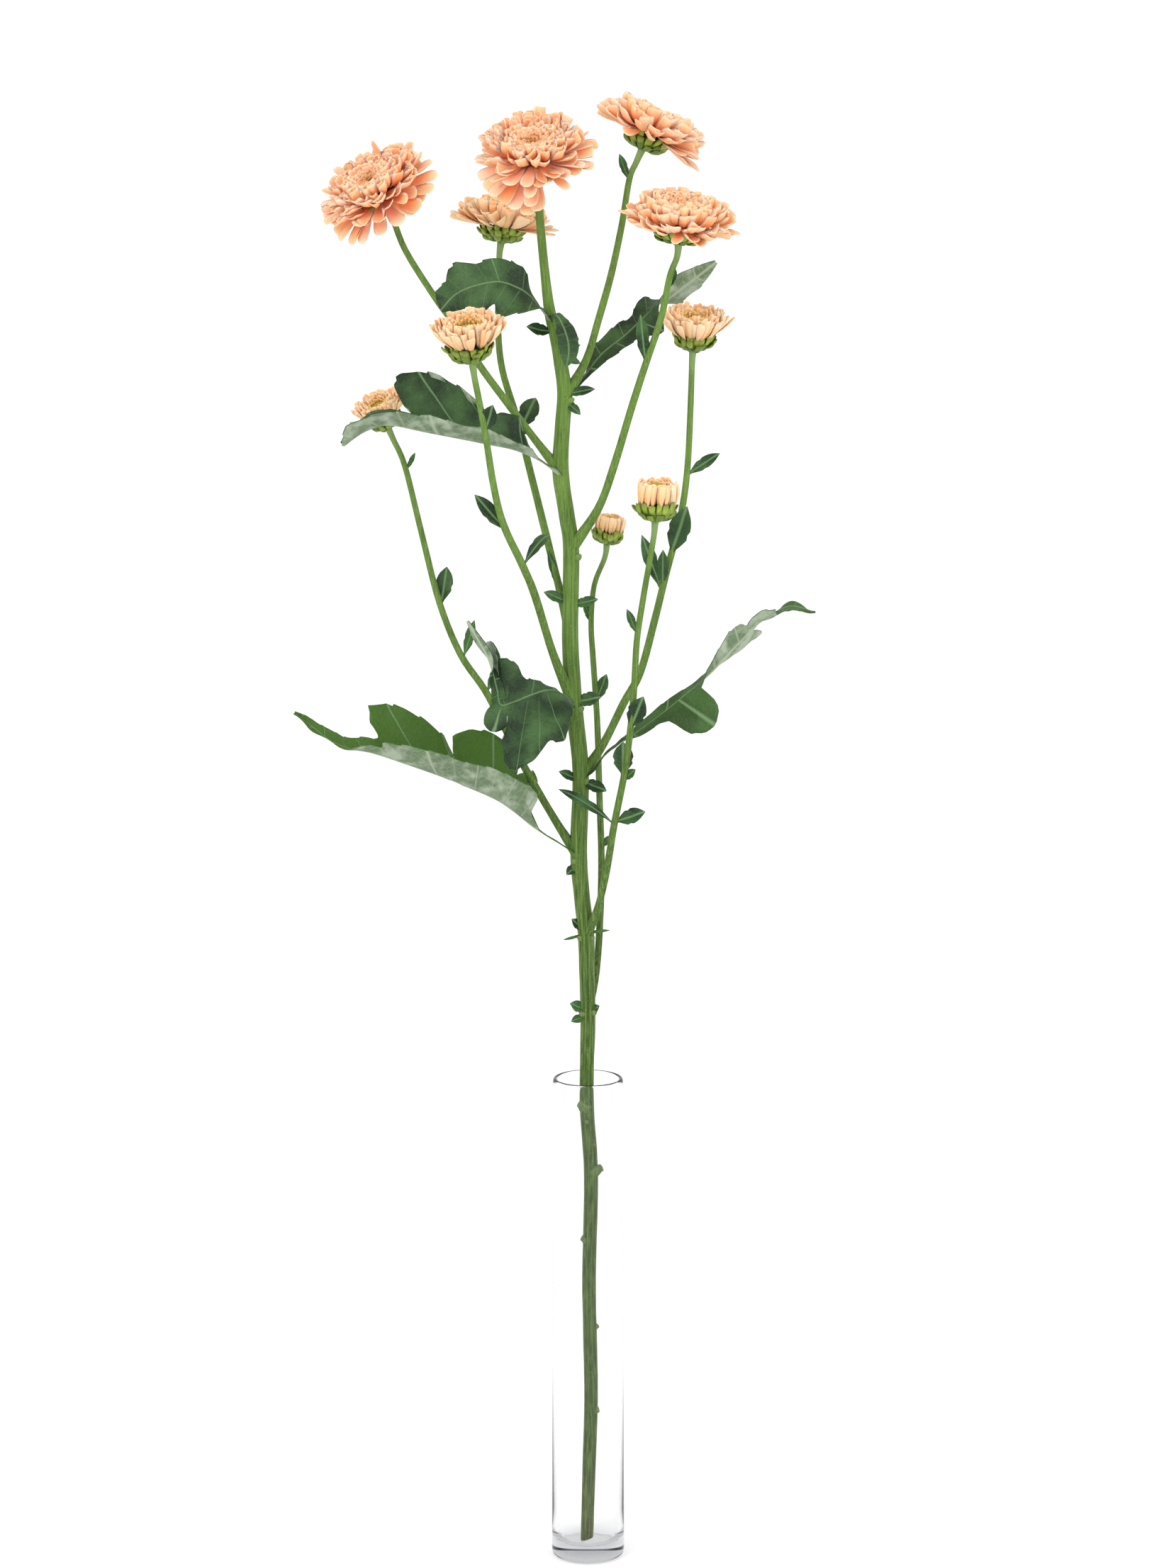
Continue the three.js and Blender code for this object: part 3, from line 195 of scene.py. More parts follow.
# Large leaves: the spine (place and direction of the upper face) and the outline (share of
# the spine, then width, fold and sweep of the left half and of the right half). Rows of
# five numbers take both sweeps, which lead the lobes to the tip, from the whole leaf.
# Some leaves are painted yellower, as painted light shining through them from behind.
LARGE_LEAVES = {
    "1": dict(fresh=1, sweep=0.7, spine=[(-5, 11, 348, 0, 0, 1), (-23.5, 8, 360, 0, 0, 1),
        (-41, 6, 374, 0, 0, 1), (-59, 3, 383, 0, 0, 1), (-75, 0, 390, 0, -0.1, 1),
        (-101, -5, 400, 0, -0.1, 1), (-119, -8, 405, 0, -0.4, 1), (-139, -9, 420, 0, -0.6, 0.8)],
        outline=[(0, 1.2, 0, 0, 1.2, 0, 0), (0.14, 1.2, 20, 0.5, 1.2, 20, 0.5),
        (0.16, 6, 40, 0.8, 6, 55, 0.9), (0.18, 10, 44, 0.6, 14, 60, 0.5),
        (0.195, 18, 46, 0.25, 20, 62, 0.3), (0.215, 20, 48, 0.15, 22, 62, 0.35),
        (0.24, 19, 48, 0.15, 15, 62, 0.6), (0.255, 19, 48, 0.15, 22, 62, 0.4),
        (0.28, 19, 48, 0.2, 28, 62, 0.35), (0.31, 18, 48, 0.25, 30, 62, 0.42),
        (0.35, 18, 47, 0.3, 28, 62, 0.6), (0.385, 18, 47, 0.35, 21, 62, 0.85),
        (0.415, 17, 46, 0.4, 12, 62, 0.95), (0.44, 17, 46, 0.5, 19, 62, 0.8),
        (0.49, 17, 46, 0.6, 23, 62, 0.9), (0.54, 17, 46, 0.75, 25, 62, 1.05),
        (0.58, 16, 46, 1, 25, 62, 1.15), (0.62, 13, 46, 1.2, 20, 62, 1.4),
        (0.645, 10, 45, 1.3, 14, 60, 1.5), (0.67, 6, 42, 1.3, 8, 58, 1.1),
        (0.7, 6, 40, 0.8, 7, 50, 0.7), (0.75, 7, 38, 7, 44), (0.81, 7, 36, 6, 38),
        (0.87, 5, 32, 5, 30), (0.94, 3, 25, 3, 25), (1, 0.8, 20, 0.5, 0.8, 20, 0.5)]),
    "2": dict(sweep=0, spine=[(-6, 12, 419, 0, -0.2, 1), (-12.5, 0, 428, 0, -0.5, 1),
        (-18.5, -8, 431, 0, -0.8, 0.7), (-26, -16, 430.5, -0.1, -1, 0.3),
        (-34.5, -22, 428, -0.1, -1, 0.2), (-41, -27, 427.5, 0, -1, 0.2),
        (-43, -29, 436, 0.3, -1, 0), (-47, -27, 450, 0.9, 0.5, 0.2), (-56.5, -20, 466, 0.5, 1, 0)],
        outline=[(0, 1.3, 0, 1.3, 0), (0.1, 1.8, 0, 1.6, 0), (0.13, 10, 0, 2, 0),
        (0.17, 12, 0, 0.15, 2, 0, 0), (0.2, 19, 0, 0.25, 2.5, 0, 0), (0.24, 28, 2, 0.4, 3, 5, 0),
        (0.27, 31, 2, 0.45, 3.5, 8, -0.3), (0.31, 26, 2, 0.6, 4.5, 6, -0.6),
        (0.35, 31, 3, 0.75, 5.5, 4, -0.8), (0.4, 31, 3, 0.85, 6.5, 0, -0.8),
        (0.44, 28, 4, 0.9, 8, 0, -0.8), (0.47, 24, 4, 0.9, 10, 0, -0.8),
        (0.49, 19, 5, 0.9, 12, 0, -0.75), (0.505, 14.5, 6, 0.92, 17, -2, -0.5),
        (0.52, 9, 8, 0.95, 21, -2, -0.38), (0.535, 5.5, 8, 0.9, 22.5, -3, -0.25),
        (0.55, 4, 8, 0.8, 23.5, -4, -0.12), (0.565, 4, 8, 0.5, 29, -4, -0.1),
        (0.58, 6, 8, 0.2, 31, -4, 0), (0.595, 11, 8, 0, 30, -4, 0.15),
        (0.61, 14, 8, 0.15, 25, -4, 0.4), (0.625, 12.5, 8, 0.1, 14, -4, 0.7),
        (0.64, 9, 8, 0, 7, -2, 0.6), (0.66, 5, 8, -0.2, 4.5, 0, 0.3),
        (0.68, 3.6, 10, -0.4, 3.6, 5, 0), (0.75, 3, 16, 3.2, 10), (0.86, 3.4, 20, 3.6, 20),
        (0.93, 2.6, 20, 2.6, 20), (1, 0.6, 20, 0.6, 20)]),
    "3": dict(sweep=0.5, spine=[(-13, 8, 531, 0, 0, 1), (-22, 1, 539, 0, 0, 1),
        (-34, -3, 545, 0, -0.1, 1), (-50, -7, 549, 0, -0.1, 1), (-73.5, -10, 554, 0, -0.1, 1),
        (-93, -12, 558, -0.1, -0.2, 1), (-104.5, -12, 555, -0.3, -0.2, 1),
        (-114.5, -11, 548, -0.6, -0.3, 0.8)],
        outline=[(0, 1.3, 0, 0, 1.3, 0, 0), (0.16, 1.3, 10, 1.3, 10),
        (0.2, 6, 30, 0.5, 5, 50, 0.6), (0.24, 7, 38, 0.5, 17, 58, 0.4),
        (0.27, 8, 40, 0.5, 16, 60, 0.75), (0.3, 9, 42, 0.5, 11, 60, 1.1),
        (0.33, 9, 44, 0.5, 19, 62, 0.9), (0.37, 10, 45, 0.5, 25, 62, 0.85),
        (0.42, 11, 46, 0.5, 28, 63, 0.9), (0.47, 13, 46, 0.5, 28.5, 63, 1),
        (0.51, 14, 46, 0.5, 26, 62, 1.1), (0.55, 14, 46, 0.5, 20, 58, 1.25),
        (0.58, 12, 45, 0.5, 11, 52, 1.2), (0.61, 12, 45, 0.5, 7, 46, 0.6), (0.68, 13, 44, 8, 38),
        (0.76, 14, 42, 9, 30), (0.85, 13, 40, 8, 26), (0.93, 9, 36, 0.4, 6, 20, 0.4),
        (1, 1.2, 20, 0.3, 2, 20, 0.3)]),
    "4": dict(sweep=0.4, spine=[(-17, 8, 603, 0, -0.3, 1), (-22, 1.5, 611, 0, -0.5, 1),
        (-27.5, -5, 618, 0.1, -0.8, 0.7), (-33, -9, 622, 0.1, -0.9, 0.6),
        (-42, -12, 625, 0, -0.9, 0.6), (-53.5, -13, 623, -0.1, -0.9, 0.5),
        (-62, -13, 619, -0.3, -0.9, 0.4), (-68.5, -12, 612, -0.5, -0.9, 0.2)],
        outline=[(0, 1.6, 0, 1.6, 0), (0.14, 2.6, 0, 1.6, 0), (0.2, 7, 0, 2, 10),
        (0.26, 12, -2, 4, 14), (0.33, 16, -4, 7, 18), (0.39, 18, -6, 10, 20),
        (0.44, 16, -6, 10, 18), (0.5, 12, -6, 11, 14), (0.56, 13, -6, 11, 12),
        (0.63, 14, -8, 10, 10), (0.7, 12, -10, 14, 4), (0.76, 8, -10, 13, 0), (0.82, 8, -10, 8, 0),
        (0.9, 6, -10, 9, 0), (0.95, 4, -10, 5, 0), (1, 1.2, 0, 1.2, 0)]),
    "5": dict(sweep=0, spine=[(-17, 6, 607, 0, -0.6, 1), (-14.5, -1, 608, 0.1, -0.9, 0.5),
        (-11.5, -4, 603, 0.2, -1, 0.2), (-9.5, -5, 597, 0.2, -1, 0.1), (-9, -5, 591, 0.2, -1, 0),
        (-10, -5, 585, 0.2, -1, 0)],
        outline=[(0, 1.6, 0, 1.6, 0), (0.28, 2.6, 0, 2.2, 0), (0.45, 4.6, -8, 4.2, 0),
        (0.62, 5.4, -10, 5, 0), (0.8, 4.6, -10, 4.4, 0), (0.92, 2.6, 0, 2.6, 0),
        (1, 0.9, 0, 0.9, 0)]),
    "6": dict(fresh=0.35, sweep=0.5, spine=[(-2, 12, 385, -0.4, 0, 1),
        (10.5, 8, 399, -0.5, -0.1, 0.9), (22.5, 4, 408, -0.5, -0.2, 0.9),
        (41, 0, 423, -0.5, -0.1, 0.8), (59, -1, 439, -0.6, 0.5, 0.5), (71, 0, 452, -0.6, 0.7, 0.4),
        (82.5, 1, 463, -0.5, 0.3, 0.7), (95, 2, 469.5, -0.1, -0.3, 1),
        (107.5, 3, 467, 0.3, -0.4, 1)],
        outline=[(0, 1.3, 0, 1.3, 0), (0.2, 1.5, 10, 1.5, 0), (0.25, 5, 20, 3.5, -20),
        (0.31, 6, 20, 4, -30), (0.335, 6, 20, 0.5, 6, -38, 0.3), (0.35, 6, 22, 0.5, 17, -42, 0.2),
        (0.37, 5.5, 24, 0.5, 23, -44, 0.25), (0.39, 5, 26, 0.5, 24, -44, 0.35),
        (0.41, 4.5, 30, 20, -42), (0.425, 4, 34, 0.5, 12, -36, 0.6), (0.44, 4, 36, 5, -20),
        (0.48, 6, 36, 5, 10), (0.52, 11, 30, 6, 20), (0.56, 15, 24, 0.55, 7, 20, 0.5),
        (0.6, 16, 20, 0.65, 8, 20, 0.5), (0.63, 13, 20, 0.8, 8, 20, 0.5),
        (0.655, 8, 20, 0.9, 7, 20, 0.5), (0.68, 3.5, 20, 0.6, 4, 20, 0.5),
        (0.72, 3.5, 10, 0.5, 8, 10, 0.8), (0.76, 4, 5, 0.5, 9, 5, 0.8),
        (0.79, 4.5, 0, 0.5, 4, 0, 0.6), (0.84, 4.5, 0, 5, -10), (0.9, 3.5, 0, 3, -5),
        (1, 0.8, 0, 0.8, 0)]),
    "7": dict(sweep=0.4, spine=[(-10, 10, 567, -0.3, -0.5, 0.8), (-1, 20, 578, -0.4, -0.8, 0.5),
        (7, 27, 587, -0.4, -0.9, 0.3), (17, 32, 594.5, -0.4, -0.9, 0.3),
        (25.5, 36, 602, -0.5, -0.7, 0.6), (32, 38, 608, -0.5, 0.2, 0.9),
        (41, 39, 614, -0.4, 0.8, 0.6), (60.5, 39, 629, -0.4, 0.9, 0.4)],
        outline=[(0, 1.3, 0, 1.3, 0), (0.15, 1.6, 0, 1.6, 0), (0.2, 3.5, 0, 3.5, 0),
        (0.28, 6, 0, 5, 0), (0.36, 7, 4, 5, 0), (0.43, 7, 8, 6, 0), (0.49, 5, 14, 0.4, 8, 6, 0.1),
        (0.53, 5, 18, 0.4, 15, 10, 0), (0.56, 7, 18, 0.4, 17, 10, 0.1),
        (0.59, 9, 16, 0.5, 12, 10, 0.3), (0.63, 11, 12, 0.6, 8, 8, 0.4),
        (0.68, 8, 8, 0.7, 8, 5, 0.4), (0.72, 10, 5, 0.5, 9, 5, 0.4), (0.8, 11, 5, 0.5, 9, 5, 0.4),
        (0.9, 8, 5, 0.5, 7, 5, 0.4), (0.96, 4, 5, 0.5, 4, 5, 0.4), (1, 1, 0, 1, 0)]),
}
TOOTH_SPACING = 9  # along a leaf's midrib
TOOTH_DEPTH = 1.2
SMALL_LOBE = 5  # a lobe up to this width has no strong vein
WAVE_DEPTH = 2  # of a leaf's edge, up and down
VALLEY_DEPTH = 0.5  # of the folds along the side veins
LEAF_COLUMNS, LEAF_ROWS = 26, 150
LONGEST_SPIKE = 1.5  # how far a leaf's underside may lie from its face, in thicknesses

# Petals from the outermost (rank 0) to the innermost (rank 1): rank, root radius, root height,
# tilt from the axis, bend, length, width, cup, fullness. Root and sizes are shares of the
# head's radius, fullness is thickness per width.
PETAL_RANKS = {
    "open": (300, [
        (0, 0.30, 0.0, 104, 2, 0.76, 0.29, 0.4, 0.07),
        (0.1, 0.30, 0.05, 92, -14, 0.75, 0.29, 0.6, 0.07),
        (0.2, 0.29, 0.1, 80, -30, 0.68, 0.27, 0.8, 0.08),
        (0.32, 0.27, 0.13, 72, -44, 0.56, 0.23, 1, 0.12),
        (0.44, 0.24, 0.15, 62, -52, 0.42, 0.17, 1, 0.25),
        (0.52, 0.23, 0.16, 52, -50, 0.33, 0.13, 0.7, 0.6),
        (0.6, 0.21, 0.17, 40, -46, 0.28, 0.1, 0.3, 0.9),
        (0.75, 0.16, 0.17, 26, -40, 0.23, 0.078, 0.2, 1),
        (0.88, 0.1, 0.16, 13, -26, 0.18, 0.056, 0.2, 1),
        (1, 0.02, 0.15, 2, -8, 0.13, 0.04, 0.2, 1)]),
    "incurved": (270, [
        (0, 0.31, 0.05, 101, -16, 0.74, 0.3, 0.5, 0.09),
        (0.15, 0.31, 0.09, 92, -30, 0.71, 0.3, 0.7, 0.1),
        (0.3, 0.28, 0.13, 78, -50, 0.63, 0.27, 0.9, 0.12),
        (0.45, 0.25, 0.16, 62, -62, 0.5, 0.21, 1, 0.2),
        (0.58, 0.22, 0.18, 45, -56, 0.37, 0.14, 0.8, 0.5),
        (0.7, 0.18, 0.18, 28, -46, 0.28, 0.09, 0.3, 0.9),
        (0.85, 0.11, 0.17, 15, -28, 0.2, 0.062, 0.2, 1),
        (1, 0.02, 0.16, 2, -8, 0.14, 0.04, 0.2, 1)]),
    "rising": (140, [
        (0, 0.36, 0.0, 80, -4, 0.68, 0.28, 0.5, 0.09),
        (0.2, 0.35, 0.06, 69, -16, 0.64, 0.28, 0.7, 0.1),
        (0.45, 0.3, 0.11, 54, -30, 0.53, 0.24, 0.9, 0.14),
        (0.7, 0.22, 0.14, 36, -32, 0.4, 0.17, 0.9, 0.3),
        (1, 0.1, 0.16, 10, -24, 0.26, 0.09, 0.5, 0.8)]),
    "half_open": (150, [
        (0, 0.46, 0.0, 50, -12, 0.74, 0.23, 0.5, 0.12),
        (0.25, 0.43, 0.07, 40, -20, 0.68, 0.22, 0.6, 0.14),
        (0.5, 0.38, 0.12, 29, -24, 0.58, 0.17, 0.7, 0.3),
        (0.75, 0.33, 0.15, 16, -26, 0.46, 0.1, 0.6, 0.7),
        (1, 0.28, 0.16, 4, -28, 0.36, 0.07, 0.4, 0.9)]),
    "bud": (84, [
        (0, 0.74, 0.0, 16, -24, 0.98, 0.36, 0.4, 0.2),
        (0.45, 0.66, 0.1, 8, -30, 0.88, 0.32, 0.5, 0.3),
        (0.75, 0.56, 0.15, 2, -26, 0.76, 0.16, 0.5, 0.6),
        (1, 0.45, 0.2, -2, -24, 0.62, 0.12, 0.5, 0.8)]),
}
# Share of a petal's length, share of its width.
PETAL_OUTLINE = [(0, 0.3), (0.3, 0.55), (0.6, 0.92), (0.8, 1.06), (0.92, 0.98), (0.975, 0.76),
                 (1, 0.4)]
# Petals that have slipped out of their rank, per head: direction from the right-hand side
# (270 is to the front), tilt, bend, length, width.
LOOSE_PETALS = {
    "top": [(256, 140, -16, 1.06, 0.3), (243, 132, -14, 1.0, 0.3), (230, 122, 4, 0.94, 0.28),
            (268, 138, -20, 1.0, 0.3), (262, 126, -14, 0.96, 0.28), (220, 112, 0, 0.96, 0.26),
            (298, 100, 0, 1.04, 0.2), (318, 92, 4, 0.9, 0.28)],
    "8": [(262, 116, 0, 0.86, 0.3), (240, 112, 6, 0.96, 0.3), (285, 112, 0, 0.92, 0.3),
          (210, 108, 4, 0.98, 0.3), (226, 112, 4, 0.98, 0.3), (330, 104, -6, 1.06, 0.36),
          (349, 102, -4, 1.06, 0.36), (8, 96, -4, 1.02, 0.36), (308, 108, -4, 1.0, 0.34)],
    "9": [(330, 108, 4, 0.96, 0.34), (348, 106, 6, 1.04, 0.34), (316, 100, 4, 0.84, 0.32),
          (8, 104, 4, 1.0, 0.3), (338, 96, 0, 0.96, 0.32)],
    "7": [(184, 76, 8, 1.08, 0.26), (352, 90, 4, 0.98, 0.26), (340, 88, 4, 0.88, 0.26)],
    "6": [(322, 90, 6, 0.92, 0.3), (338, 91, 5, 1.02, 0.32), (352, 86, 4, 1.04, 0.28),
          (186, 78, 4, 1.0, 0.3), (205, 80, 4, 0.9, 0.3)],
}
LOOSE_ROOT = 0.28  # distance of such a petal's root from the axis, per radius of the head
LOOSE_LENGTH = 0.8
# How much the petals of a head stray from their ranks.
LOOSENESS = {"open": 1, "incurved": 0.9, "rising": 0.8, "half_open": 0.5, "bud": 0.25}
# How far a head has turned from apricot to pink.
PINK = {"8": 1, "top": 0.75, "9": 0.55, "7": 0.2}
# Dome of florets in the middle of a head: count, radius, height of the dome, its base.
FLORET_DOMES = {
    "open": (40, 0.11, 0.08, 0.2), "incurved": (40, 0.11, 0.08, 0.2),
    "rising": (40, 0.13, 0.08, 0.16), "half_open": (110, 0.34, 0.2, 0.24),
    "bud": (60, 0.5, 0.16, 0.62),
}
# A floret's tube, wide at the foot and at the mouth: radius, height.
FLORET_PROFILE = [(0.4, 0), (0.34, 0.55), (0.5, 0.9), (0.42, 1.0), (0.16, 0.8)]
# The cup of a calyx above the stem: shares of its radius and height.
CUP = [(0.6, 0.14), (0.84, 0.42), (0.86, 1), (0.3, 1.02)]
CUP_FOOT = 1.5 * NECK_FLARE
# Bracts of a calyx from the outer row to the inner one, in shares of its radius and height:
# count, root radius, root height, tilt, bend, length, width.
BRACT_ROWS = [
    (10, 0.22, 0.05, 90, -72, 0.84, 0.5), (12, 0.3, 0.15, 84, -80, 0.94, 0.5),
    (14, 0.4, 0.25, 74, -74, 1.0, 0.46), (15, 0.5, 0.35, 60, -62, 1.0, 0.42),
]
# How much further the bracts of a head spread than upright ones.
BRACT_SPREAD = {"open": 16, "incurved": 12, "rising": 10, "half_open": 2, "bud": -4}
GOLDEN_ANGLE = math.pi * (3 - math.sqrt(5))
BRACT_SEED, PETAL_SEED, FLORET_SEED = 40, 10, 70

# The vase in profile. Heel outside and well inside: inset from the wall, height.
HEEL = [(3, 0), (1.6, 0.35), (0.6, 1.2), (0.1, 3)]
WELL = [(-0.05, 7), (0.6, 3.8), (2.4, 1.6), (5.5, 0.3), (9, 0)]
# Fire-polished bead of the rim: radius, distance below the top.
RIM_BEAD = [(16.9, 2.5), (16.9, 1.1), (16.4, 0.2), (15.8, 0)]

# The stage, in metres and degrees. The camera stands where the photograph was taken from.
CAMERA_PLACE = (0, -2.6, 0.897)
CAMERA_DOWN = 11.16
LIGHTS_AIM = Vector((0, 0, 0.45))
SKY_STRENGTH = 1.12
GREEN_DEPTH = (0.4, 1.0, 0.2)  # how far red, green and blue light enters green tissue


# ---------------------------------------------------------------- what a user would change

def colour(hex_code):
    """An sRGB hex colour as linear red, green, blue and alpha."""
    values = [int(hex_code[i:i + 2], 16) / 255 for i in (0, 2, 4)]
    return (*[v / 12.92 if v <= 0.04045 else ((v + 0.055) / 1.055) ** 2.4 for v in values], 1.0)


WHITE = colour("FFFFFF")


def colour_property(label, description, hex_code):
    return FloatVectorProperty(name=label, description=description, subtype="COLOR", size=4,
                               min=0, max=1, default=colour(hex_code))


def length_property(label, description, default):
    return FloatProperty(name=label, description=description, default=default, unit="LENGTH")


class VaseSettings(PropertyGroup):
    height: length_property("Height", "From the base to the rim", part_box("vase")[1][2])
    base_radius: length_property("Base radius", "Outside radius at the heel", 17.8 * MM)
    neck_radius: length_property("Neck radius", "Outside radius under the rim", 16.5 * MM)
    wall: length_property("Wall", "Thickness of the glass wall", 1.8 * MM)
    floor: length_property("Floor", "Thickness of the glass under the stem", 7.5 * MM)
    steps: IntProperty(name="Steps", description="Steps round the vase", default=96, min=24)
    tint: colour_property("Glass tint", "Grey that thick glass shows at the edges", "BABCC4")
    density: FloatProperty(name="Tint density", description="Strength of the tint, per metre",
                           default=30, min=0)


class StemSettings(PropertyGroup):
    ribs: IntProperty(name="Ribs", description="Ribs round the main stem", default=9)
    rib_depth: FloatProperty(name="Rib depth", description="Height of a rib, per radius",
                             default=0.06, subtype="FACTOR")
    young: colour_property("Upper stem", "Fresh green of the upper stems", "5B7C2C")
    old: colour_property("Lower stem", "Olive green low on the main stem", "334C10")
    bark: colour_property("Cut end", "Brown flush at the cut end", "4E4A30")
    neck: colour_property("Neck", "Pale green just under a head", "93AC74")
    # Painted shade: this brown darkens the stems' left and right sides, as seen from the front.
    flush: colour_property("Flush", "Brown flush along two sides", "4A4A2A")
    fibre: colour_property("Fibres", "Light streaks along the stem", "7E9C50")
    hair: colour_property("Hairs", "Fine pale hairs, seen as dots", "D5E2C4")


class LeafSettings(PropertyGroup):
    thickness: length_property("Thickness", "Thickness of a leaf", 0.5 * MM)
    upper: colour_property("Upper face", "Dark green of the upper face", "142C10")
    upper_light: colour_property("Upper face, lit", "Lighter patches of the upper face", "3A5A2E")
    # Painted light: a yellower green laid on whole leaves for light shining through them from
    # behind.
    fresh: colour_property("Fresh green", "Yellower green of a leaf lit from behind", "3C6016")
    vein: colour_property("Veins", "Pale green veins", "6E8E60")
    hair: colour_property("Hairs", "Fine hairs of the upper face", "8FA38A")
    felt_deep: colour_property("Underside, deep", "Green between the hairs below", "50663E")
    felt: colour_property("Underside", "Grey-green felt of the underside", "6E8266")
    felt_pale: colour_property("Underside, pale", "Denser felt in patches", "A3AF9A")
    felt_vein: colour_property("Underside veins", "Pale raised veins below", "A3B294")


class HeadSettings(PropertyGroup):
    # Painted shade: the deep colours darken and warm each petal's base, deep in the head, over its
    # own deeper orange.
    petal_deep_and_shade: colour_property("Petal, deep", "Orange deep in the head", "FF882A")
    petal_base: colour_property("Petal base", "Apricot of a petal's lower half", "FDAE60")
    petal: colour_property("Petal", "Light apricot of an open petal", "F7CCA2")
    # Painted highlight: this pale colour lights both edges of every petal, and it also turns some
    # petals cream at random.
    petal_cream_and_edge_highlight: colour_property("Petal edge", "Pale edge of a petal", "F5E0D4")
    pink_deep_and_shade: colour_property("Pink petal, deep", "Salmon deep in the head", "FF7626")
    pink: colour_property("Pink petal", "Salmon pink of an older petal", "FCA46E")
    heart: colour_property("Heart", "Innermost quills of an open head", "C4803A")
    # Painted shade as on the open petals: the deep colour darkens each young petal's base.
    young_deep_and_shade: colour_property("Young petal, deep", "Yellow deep in a young head", "E29C4C")
    young_base: colour_property("Young base", "Golden lower half of a young petal", "F5C086")
    young_petal: colour_property("Young petal", "Peach of a young petal", "F6D0A6")
    # Painted highlight as on the open petals, along the edges of young petals, and cream for some
    # at random.
    young_cream_and_edge_highlight: colour_property("Young edge", "Cream edge of a young petal", "F8E6CE")
    young_heart: colour_property("Young heart", "Innermost quills of a young head", "E0B45C")
    # Painted shade: the florets darken towards their feet, down between them.
    floret_shade: colour_property("Florets, deep", "Brown between the florets", "5F4A1E")
    floret: colour_property("Florets", "Ochre florets of an open head", "7E5E28")
    young_floret_shade: colour_property("Young florets, deep", "Olive between them", "8F8A34")
    young_floret: colour_property("Young florets", "Yellow-green florets", "CBB84C")
    bract: colour_property("Outer bract", "Dark green of the outer bracts", "4A6A22")
    bract_inner: colour_property("Inner bract", "Yellow-green of the inner bracts", "9CB040")
    bract_tip: colour_property("Bract tip", "Dark tip of a bract", "2E441C")
    bract_edge: colour_property("Bract edge", "Dry brown margin", "6E6A3C")


class StageSettings(PropertyGroup):
    lens: FloatProperty(name="Lens", description="Focal length on a 36 mm high frame",
                        default=127.7, unit="CAMERA")
    key_power: FloatProperty(name="Key light", description="Power of the key light",
                             default=28, unit="POWER")
    fill_power: FloatProperty(name="Fill light", description="Power of the fill light",
                              default=15, unit="POWER")


# ---------------------------------------------------------------- materials

def add(material, kind, inputs=None, stops=(), **settings):
    """Adds a node with its settings. An input takes a value, a socket or a node to link."""
    tree = material.node_tree
    node = tree.nodes.new("ShaderNode" + kind)
    for name, value in settings.items():
        setattr(node, name, value)
    for place, (position, tone) in enumerate(stops):
        elements = node.color_ramp.elements
        stop = elements[place] if place < 2 else elements.new(position)
        stop.position = position
        stop.color = tone
    for name, value in (inputs or {}).items():
        socket = node.inputs[name] if isinstance(name, int) else next(
            item for item in node.inputs if item.name == name and item.enabled)
        if isinstance(value, bpy.types.Node):
            value = next(item for item in value.outputs if item.enabled)
        if isinstance(value, bpy.types.NodeSocket):
            tree.links.new(value, socket)
        else:
            socket.default_value = value
    return node


def new_material(name):
    material = bpy.data.materials.new(name)
    material.use_nodes = True
    material.node_tree.nodes.clear()
    return material


def paint(material, tone, *layers):
    """Lays colours over a tone. A layer grows to its strength as a value goes from low to high."""
    for value, low, high, strength, over in layers:
        mask = add(material, "MapRange", {
            "Value": value, "From Min": low, "From Max": high, "To Max": strength})
        tone = add(material, "Mix", {"Factor": mask, "A": tone, "B": over}, data_type="RGBA")
    return tone


def finish(material, look, **outputs):
    """Ends a material with a shader of this look, linked to the output."""
    shader = add(material, "BsdfPrincipled", look)
    add(material, "OutputMaterial", {"Surface": shader, **outputs})
    return material


def soda_lime_glass(vase):
    """Drawn soda-lime glass: clear, grey in its depth, with waves that waver the reflections."""
    glass = new_material("soda_lime_glass")
    place = add(glass, "TexCoord").outputs["Object"]
    drawn = add(glass, "Mapping", {"Vector": place, "Scale": (1, 1, 0.15)})
    uneven = add(glass, "TexNoise", {"Vector": drawn, "Scale": 1 / (25 * MM), "Detail": 1.0})
    bump = add(glass, "Bump", {"Height": uneven, "Distance": 0.1 * MM, "Strength": 0.2})
    depth = add(glass, "VolumeAbsorption", {"Color": vase.tint, "Density": vase.density})
    return finish(glass, {"Base Color": WHITE, "Transmission Weight": 1.0, "IOR": 1.3,
                          "Roughness": 0.0, "Normal": bump}, Volume=depth)


